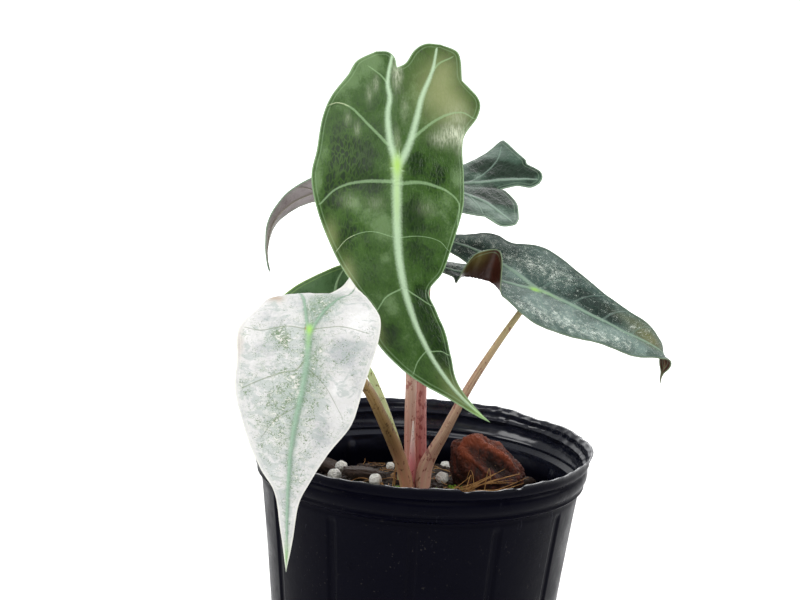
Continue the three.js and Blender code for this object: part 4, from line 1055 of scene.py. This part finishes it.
# %% Drain holes
HOLES, HOLE_RING, HOLE_RADIUS = 8, 0.044, 0.005
punches = bmesh.new()
for k in range(HOLES):
    at = math.radians(k * 45 + 22.5)
    place = Matrix.Translation((HOLE_RING * math.cos(at), HOLE_RING * math.sin(at), 0.001))
    bmesh.ops.create_cone(punches, cap_ends=True, segments=32, radius1=HOLE_RADIUS, radius2=HOLE_RADIUS,
                          depth=0.007, matrix=place)
punch_mesh = bpy.data.meshes.new("punch")
punches.to_mesh(punch_mesh)
punches.free()
punch = add_object("punch", punch_mesh)
cut = pot.modifiers.new("drain_holes", "BOOLEAN")
cut.operation, cut.object, cut.solver = "DIFFERENCE", punch, "EXACT"
evaluated_mesh(pot)
bpy.data.objects.remove(punch)
smooth_faces(pot, 40)
print("pot values kept:", [value.name for value in pot.data.attributes])

# %% [markdown]
# Dust, scratches and scuffs show on the plastic, on the bark and on the husk alike, so wear is a
# group. It takes the piece's own coordinates and gives a dust mask, a scratch mask and a value for
# the roughness. The plastic is almost black, and only its crinkled inside shines. That band and the
# rim's edge are also painted a lighter blue grey, a painted sheen.

# %% Shared wear and black pot plastic
given = open_group("worn_surface", {"Object": "vector", "Dust Amount": 0.5, "Scratch Amount": 0.5})
specks = grain(given["Object"], 820.0, 2.0, 0.5) + grain(given["Object"], 38.0, 3.0, 0.6) * 0.3
lines = grain(stretch(given["Object"], 1.0, 1.0, 0.09), 420.0, 3.0, 0.7, 0.5)
worn_surface = close_group({
    "Dust": step(specks, 0.86, 0.92, 0.0, given["Dust Amount"]),
    "Scratches": step(lines, 0.685, 0.72, 0.0, given["Scratch Amount"]),
    "Haze": grain(given["Object"], 60.0, 6.0, 0.65)})


def worn(place, dust, scratches):
    return use_group(worn_surface, {"Object": place, "Dust Amount": dust, "Scratch Amount": scratches})


finish, shader, place = new_material("black_pot_plastic")
wear = worn(place, 0.18, 0.25)
height = put("ShaderNodeSeparateXYZ", {0: place}, "Z")
coat_and_painted_sheen = maths("MAXIMUM", stored("inner") * step(height, 0.114, 0.122), step(height, 0.1384, 0.1396) * 0.3)
fill(shader, {"Specular IOR Level": 0.035, "Coat Roughness": 0.16, "Coat Weight": coat_and_painted_sheen})
body = blend(wear["Haze"], colour(1, 1, 8), colour(6, 6, 16))
# The crinkled inside and the rim's edge are painted a lighter blue grey here, a painted sheen.
body = blend(wear["Dust"], blend(coat_and_painted_sheen, body, colour(24, 27, 40)), colour(88, 84, 78))
body = blend(wear["Scratches"], body, colour(52, 52, 62))
creases = put("ShaderNodeTexVoronoi", {"Vector": stretch(place, 1.0, 1.0, 1.4), "Scale": 75.0}, "Distance",
              feature="DISTANCE_TO_EDGE")
relief = grain(place, 150.0, 3.0) + wear["Scratches"] + step(creases, 0.0, 0.25) * coat_and_painted_sheen * 5.0
dress(shader, body, step(wear["Haze"], 0.3, 0.7, 0.24, 0.42), relief, 0.0003, 0.5)
pot.data.materials.clear()
pot.data.materials.append(finish)
belongs(pot, "pot", "pot")

# %% [markdown]
# ## The potting mix
# The mix is a low mound of damp dark crumbs. Its body is one heightfield that ends in a skirt
# inside the pot, and the crumbs are instances: a tree scatters small lumps on the surface, turns
# and sizes each at random from a fixed seed, and pushes them about so that no two are alike.

# %% Mound
MIX_CENTRE, MIX_EDGE, MIX_GAP = 119.0, 108.0, 2.5
MIX_RADIUS = float(keyed(WALL, MIX_EDGE, 1)) - MIX_GAP
MIX_FOOT = POT_FLOOR + 0.4
RING_COUNT, SPOKE_COUNT = 90, 220


def mound_height(x, y):
    share = np.minimum(np.hypot(x, y) / MIX_RADIUS, 1)
    waves = np.where(share < 0.97, 1.3 * ripple(x * 0.13, y * 0.13, 5), 0)
    return MIX_CENTRE - (MIX_CENTRE - MIX_EDGE) * share**2.2 + waves


def rough(point, scale, octaves=4):
    return noise.fractal(Vector(point) * scale, 0.9, 2.1, octaves)


spokes = np.linspace(0, 2 * math.pi, SPOKE_COUNT, endpoint=False)
shares = np.linspace(0, 1, RING_COUNT + 1)[1:]
radius, angle = (grid.ravel() for grid in np.meshgrid(shares * MIX_RADIUS, spokes, indexing="ij"))
x, y = radius * np.cos(angle), radius * np.sin(angle)
z = mound_height(x, y)
bumps = np.array([1.3 * rough((a, b, 0), 0.35) for a, b in zip(x, y)])
z += bumps * np.minimum(1, (MIX_RADIUS - np.hypot(x, y)) / 4)
skirt = [ring_at(float(keyed(WALL, height, 1)) - MIX_GAP, spokes, height) for height in (60.0, MIX_FOOT)]
peak = [[0, 0, float(mound_height(0, 0))]]
mound_points = np.vstack([peak, np.column_stack([x, y, z]), *skirt, [[0, 0, MIX_FOOT]]])
mound_faces = fan(0, 1, SPOKE_COUNT) + ring_quads(1, RING_COUNT + 1, SPOKE_COUNT, flipped=True)
under = len(mound_points) - 1

soil, shader, place = new_material("damp_potting_mix")
wear = worn(place, 0.5, 0.0)
body = blend(grain(place, 320.0, 6.0, 0.7), colour(14, 10, 7), colour(54, 36, 24))
body = blend(step(grain(place, 95.0, 4.0), 0.56, 0.7), body, colour(86, 54, 32))
body = blend(wear["Dust"], body, colour(120, 96, 66))
dress(shader, body, step(wear["Haze"], 0.3, 0.7, 0.6, 0.95), grain(place, 700.0, 5.0, 0.7), 0.0012)
mound = make_object("potting_mix_mound", mound_points * MM,
                    mound_faces + fan(under, under - SPOKE_COUNT, SPOKE_COUNT, True), soil)
smooth_faces(mound, 60)
belongs(mound, "potting_mix", "potting_mix")

# %% Crumbs
given = open_group("scatter_crumbs", {
    "Ground": "shape", "Density": 1e5, "Spacing": 0.001, "Smallest": 0.5, "Largest": 1.5, "Flatness": 0.6,
    "Seed": 1, "Finish": "finish"}, "GeometryNodeTree")
spread = put("GeometryNodeDistributePointsOnFaces", {
    "Mesh": given["Ground"], "Distance Min": given["Spacing"], "Density Max": given["Density"],
    "Seed": given["Seed"]}, "Points", distribute_method="POISSON")
size = put("FunctionNodeRandomValue", {2: given["Smallest"], 3: given["Largest"], "Seed": given["Seed"]}, 1,
           data_type="FLOAT")
spin = put("FunctionNodeRandomValue", {0: (-0.6, -0.6, 0.0), 1: (0.6, 0.6, 6.28), "Seed": given["Seed"]},
           data_type="FLOAT_VECTOR")
spin = put("FunctionNodeEulerToRotation", {0: spin})
scale = put("ShaderNodeCombineXYZ", {0: size * 1.35, 1: size, 2: size * given["Flatness"]})
lump = put("GeometryNodeMeshIcoSphere", {"Radius": 0.001, "Subdivisions": 2})
placed = put("GeometryNodeInstanceOnPoints", {"Points": spread, "Instance": lump, "Rotation": spin, "Scale": scale})
placed = put("GeometryNodeRealizeInstances", {"Geometry": placed})
uneven = put("ShaderNodeTexNoise", {"Scale": 900.0, "Detail": 2.0}, "Color")
push = stretch(vector_maths("SUBTRACT", uneven, (0.5, 0.5, 0.5)), 0.0014, 0.0014, 0.0014)
placed = put("GeometryNodeSetPosition", {"Geometry": placed, "Offset": push})
placed = put("GeometryNodeSetMaterial", {"Geometry": placed, "Material": given["Finish"]})
crumbs_by_rule = close_group({"Crumbs": placed})


def scatter_on_mound(name, material, reach, settings, patches=()):
    """Crumbs on the mound within a radius, or only on round patches of [x, y, radius] there."""
    keep = []
    for face in mound_faces[:SPOKE_COUNT * RING_COUNT]:
        x, y = mound_points[face[0], :2]
        chosen = not patches or any(np.hypot(x - a, y - b) < r for a, b, r in patches)
        if chosen and np.hypot(x, y) <= reach:
            keep.append(face)
    piece = make_object(name, mound_points * MM, keep, None)
    grow(piece, crumbs_by_rule, {**settings, "Finish": material})
    smooth_faces(piece, 45)
    belongs(piece, "potting_mix")


scatter_on_mound("potting_mix_crumbs", soil, MIX_RADIUS - 2, {
    "Density": 120000.0, "Spacing": 0.0021, "Smallest": 0.5, "Largest": 1.7, "Flatness": 0.7, "Seed": 4})

# %% [markdown]
# ## Things in the mix
# White perlite beads, dark bark chips and one reddish chunk of husk lie in the crumbs. Each starts
# as a ball of triangles whose points are pushed in and out by noise. Perlite is popped glass, so
# it is pitted; bark is flat and squared off; the husk is combed into ridges along its fibres.
# Beads are [x, y, z, radius], chips [x, y, z, turn, tilt, and three half sizes].

# %% Lumps
BEADS = [[-35.5, 20, 119.5, 2.7], [-38, 9, 118.5, 3.1], [-19.6, -3, 121, 2.9], [-13.4, 20, 121, 1.9],
         [9.8, 6, 121, 2.9], [-46, -18, 115, 2.4], [24, -30, 117, 2.6], [48, -4, 114, 2.3], [12, 44, 115.5, 2.5]]
CHIPS = [[-25, 8, 120.2, 24, 10, 10, 4.5, 2.6], [-42, 30, 116.5, -30, 8, 8, 5, 2.4],
         [6, -40, 116, 12, -6, 9, 5.5, 2.3], [47, 28, 115, 60, 12, 8, 5, 2.6],
         [-22, -42, 115.5, 70, 6, 7, 4.5, 2.2], [-3, 34, 118.5, -15, -8, 9, 4.5, 2.4]]


def ball(detail):
    shape = bmesh.new()
    bmesh.ops.create_icosphere(shape, subdivisions=detail, radius=1.0)
    points = np.array([v.co[:] for v in shape.verts])
    faces = [[v.index for v in f.verts] for f in shape.faces]
    shape.free()
    return points / np.linalg.norm(points, axis=1)[:, None], faces


def place_lump(name, points, turn, tilt, centre, faces, material, slot, node):
    matrix = (turns("Z", turn) @ turns("Y", tilt))[0]
    lump = make_object(name, (points @ matrix.T + np.array(centre)) * MM, faces, material)
    smooth_faces(lump)
    belongs(lump, slot, node)
    return lump


perlite, shader, place = new_material("perlite_white")
fill(shader, {"Subsurface Weight": 0.15, "Subsurface Radius": (0.002, 0.002, 0.0018)})
pits = put("ShaderNodeTexVoronoi", {"Vector": place, "Scale": 900.0}, "Distance")
dirt = step(grain(place, 300.0, 5.0, 0.65), 0.56, 0.72) * 0.4
# The pits are painted a darker grey than their rims, a painted shade in the hollows.
body = blend(dirt, blend(pits, colour(212, 210, 202), colour(240, 239, 234)), colour(168, 146, 112))
dress(shader, body, step(pits, 0.0, 1.0, 0.9, 0.6), pits, 0.0006)

unit, unit_faces = ball(5)
for number, (x, y, z, radius) in enumerate(BEADS, 1):
    uneven = 1 + 0.07 * ripple(unit[:, 0] * 2, unit[:, 1] * 2 + unit[:, 2], x)
    fine = np.array([0.035 * rough(p * radius + np.array([x, y, z]), 1.1) for p in unit])
    size = (radius * (uneven + fine))[:, None]
    place_lump(f"perlite_{number}", unit * size * [1, 1, 0.94], 0, 0, (x, y, z), unit_faces, perlite, "perlite",
               f"perlite_bead_{number}")

bark, shader, place = new_material("dark_bark")
wear = worn(place, 0.6, 0.3)
layers = grain(stretch(place, 0.35, 1.0, 2.2), 420.0, 6.0, 0.7)
body = blend(wear["Dust"], blend(layers, colour(18, 13, 12), colour(72, 52, 40)), colour(128, 104, 84))
dress(shader, body, step(layers, 0.3, 0.7, 0.55, 0.85), layers, 0.0011)
squared = np.sign(unit) * np.abs(unit) ** 0.7
for number, (x, y, z, turn, tilt, a, b, c) in enumerate(CHIPS, 1):
    uneven = 1 + 0.09 * ripple(unit[:, 0] * 1.6, unit[:, 1] * 1.6 + unit[:, 2], x * 0.7)
    fine = np.array([0.09 * rough((p[0] * a * 0.5, p[1] * b, p[2] * c * 1.6 + x), 0.45) for p in unit])
    place_lump(f"bark_piece_{number}", squared * (uneven + fine)[:, None] * [a, b, c], turn, tilt, (x, y, z),
               unit_faces, bark, "bark", f"bark_chip_{number}")

# %% Husk chunk
HUSK_PLACE, HUSK_TURN, HUSK_SIZE = (29, 6, 126), -8, (16.5, 10, 15)
unit, unit_faces = ball(7)
dx, dy, dz = unit.T
swirl = np.array([rough((p[0] * 1.3, p[1] * 0.7, p[2] * 1.3), 1.6, 3) for p in unit])
lumps = np.array([rough(p + Vector((3, 1, 2)), 2.6, 4) for p in map(Vector, unit)])
off = unit - [0.34, -0.74, 0.36]
down_slope, up_slope = off @ [0.8, 0, -0.6], off @ [0.6, 0, 0.8]
from_hollow = np.sqrt((down_slope / 1.7) ** 2 + (up_slope * 1.5 + 0.25 * down_slope**2) ** 2 + off[:, 1] ** 2)
dent = np.exp(-(((unit - [-0.75, -0.5, -0.2]) / 0.4) ** 2).sum(axis=1))
hollow = np.exp(-(from_hollow / 0.3) ** 2) + 0.5 * dent
curl = np.exp(-((from_hollow - 0.56) / 0.14) ** 2) * np.clip(dz + 0.35, 0, 1)
combed = 0.014 * np.sin(30 * (dx * 0.8 + 0.6 * swirl) + 6 * dz) + 0.05 * swirl + 0.07 * lumps
thread = 0.006 * np.sin(110 * (dx * 0.8 + 0.5 * swirl) + 14 * dz)
size = 1 - 0.26 * hollow + 0.13 * curl + 0.05 * ripple(dx * 1.4, dz * 1.4, 2) + combed + thread
a, b, c = HUSK_SIZE
husk_points = np.column_stack([dx * a * size - dz * 3, dy * b * size, dz * c * size * (1 - 0.22 * dx)])

husk_skin, shader, place = new_material("red_brown_husk")
wear = worn(place, 0.35, 0.4)
threads = grain(stretch(place, 1.0, 1.0, 0.3), 620.0, 5.0, 0.7, 0.8)
relief_for_painted_light = stored("relief_for_painted_light")
body = blend(step(threads, 0.3, 0.7), colour(24, 9, 5), colour(88, 38, 22))
# Ridges and the upper side get a lighter rust, partly the husk's own colour and partly a painted highlight. The
# hollows are painted near black, a painted shade.
body = blend(step(relief_for_painted_light, 0.55, 1.0) * 0.7, body, colour(146, 70, 40))
body = blend(step(relief_for_painted_light, 0.1, 0.45, 1.0, 0.0) * 0.85, body, colour(14, 6, 4))
body = blend(wear["Dust"], body, colour(176, 140, 104))
dress(shader, body, step(threads, 0.3, 0.7, 0.45, 0.8), threads, 0.0009)
husk = place_lump("husk", husk_points, HUSK_TURN, 0, HUSK_PLACE, unit_faces, husk_skin, "husk_chunk", "husk_chunk")
# This value rises on the ridges and towards the top and falls in the hollows, for the painted light and shade.
write_values(husk, "relief_for_painted_light", np.clip(0.45 + combed * 2.5 + 0.55 * curl - 0.6 * hollow + 0.25 * dz, 0, 1))

# %% [markdown]
# ## Roots, fibres and moss
# Around the crown lie tan coir fibres and a few roots, some standing up, some crossing the husk.
# They are thin wandering paths for the same sweep that made the petioles. Moss grows in green
# cushions of tiny shoots, scattered on patches of the mound.

# %% Fibres
chance = np.random.default_rng(7)


def wandering_path(x, y, heading, length, thickness, climb, bend=0.9, marks=7):
    """A fibre that follows the mound, or climbs from it and droops again."""
    path = []
    for k in range(marks):
        share = k / (marks - 1)
        up = 0.3 + climb * math.sin(share * math.pi * 0.8) + 0.4 * chance.random()
        path.append([x, y, float(mound_height(x, y)) + up, thickness * (1 - 0.5 * share)])
        heading += bend * (chance.random() - 0.5)
        x += math.cos(heading) * length / marks
        y += math.sin(heading) * length / marks
    return stroke(path, 22)


fibres = []
for _ in range(110):
    spin, reach = chance.random() * 2 * math.pi, 8 + 50 * chance.random()
    x, y = reach * math.cos(spin), reach * math.sin(spin)
    fibres.append(wandering_path(x, y, chance.random() * 6.28, 9 + 16 * chance.random(),
                                 0.12 + 0.13 * chance.random(), 3.5 * chance.random() ** 3))
for _ in range(16):
    start = np.array([10 + 18 * chance.random(), -8 - 3 * chance.random(), 119 + 2 * chance.random()])
    end = start + [10 + 14 * chance.random(), 2 * chance.random() - 1, 1 + 10 * chance.random()]
    sag = [0, -1 - chance.random(), 3 * chance.random() - 1]
    fibres.append(stroke([[*start, 0.2], [*(start * 0.6 + end * 0.4 + sag), 0.18], [*end, 0.1]], 22))
for x, y in ((-12, -8), (-11, -7), (46, 2), (20, -10), (24, -9), (28, -12)):
    fibres.append(wandering_path(x, y, chance.random() * 6.28, 5, 0.2, 12 * chance.random() + 5))
coir, shader, place = new_material("tan_coir")
body = blend(grain(place, 260.0, 3.0), colour(112, 66, 30), colour(206, 160, 96))
body = blend(step(stored("along"), 0.6, 1.0, 0.0, 0.4), body, colour(120, 80, 44))
dress(shader, body, step(grain(place, 500.0), 0.3, 0.7, 0.5, 0.75), grain(place, 1500.0), 0.0002)
belongs(sweep_paths("coir_fibres", fibres, coir, sides=6), "potting_mix")

# %% Moss
MOSS_PATCHES = [(-12, -10, 4.5), (-3, -14, 3.5), (8, -12, 4.0), (16, 2, 3.5), (-30, 2, 3.0)]
moss, shader, place = new_material("green_moss")
body = blend(grain(place, 500.0, 4.0, 0.6), colour(44, 66, 8), colour(128, 168, 30))
dress(shader, body, step(grain(place, 300.0), 0.3, 0.7, 0.55, 0.85), grain(place, 1800.0), 0.0003)
scatter_on_mound("moss_cushions", moss, MIX_RADIUS - 6, {
    "Density": 1.5e6, "Spacing": 0.0008, "Smallest": 0.35, "Largest": 0.8, "Flatness": 1.2,
    "Seed": 11}, MOSS_PATCHES)
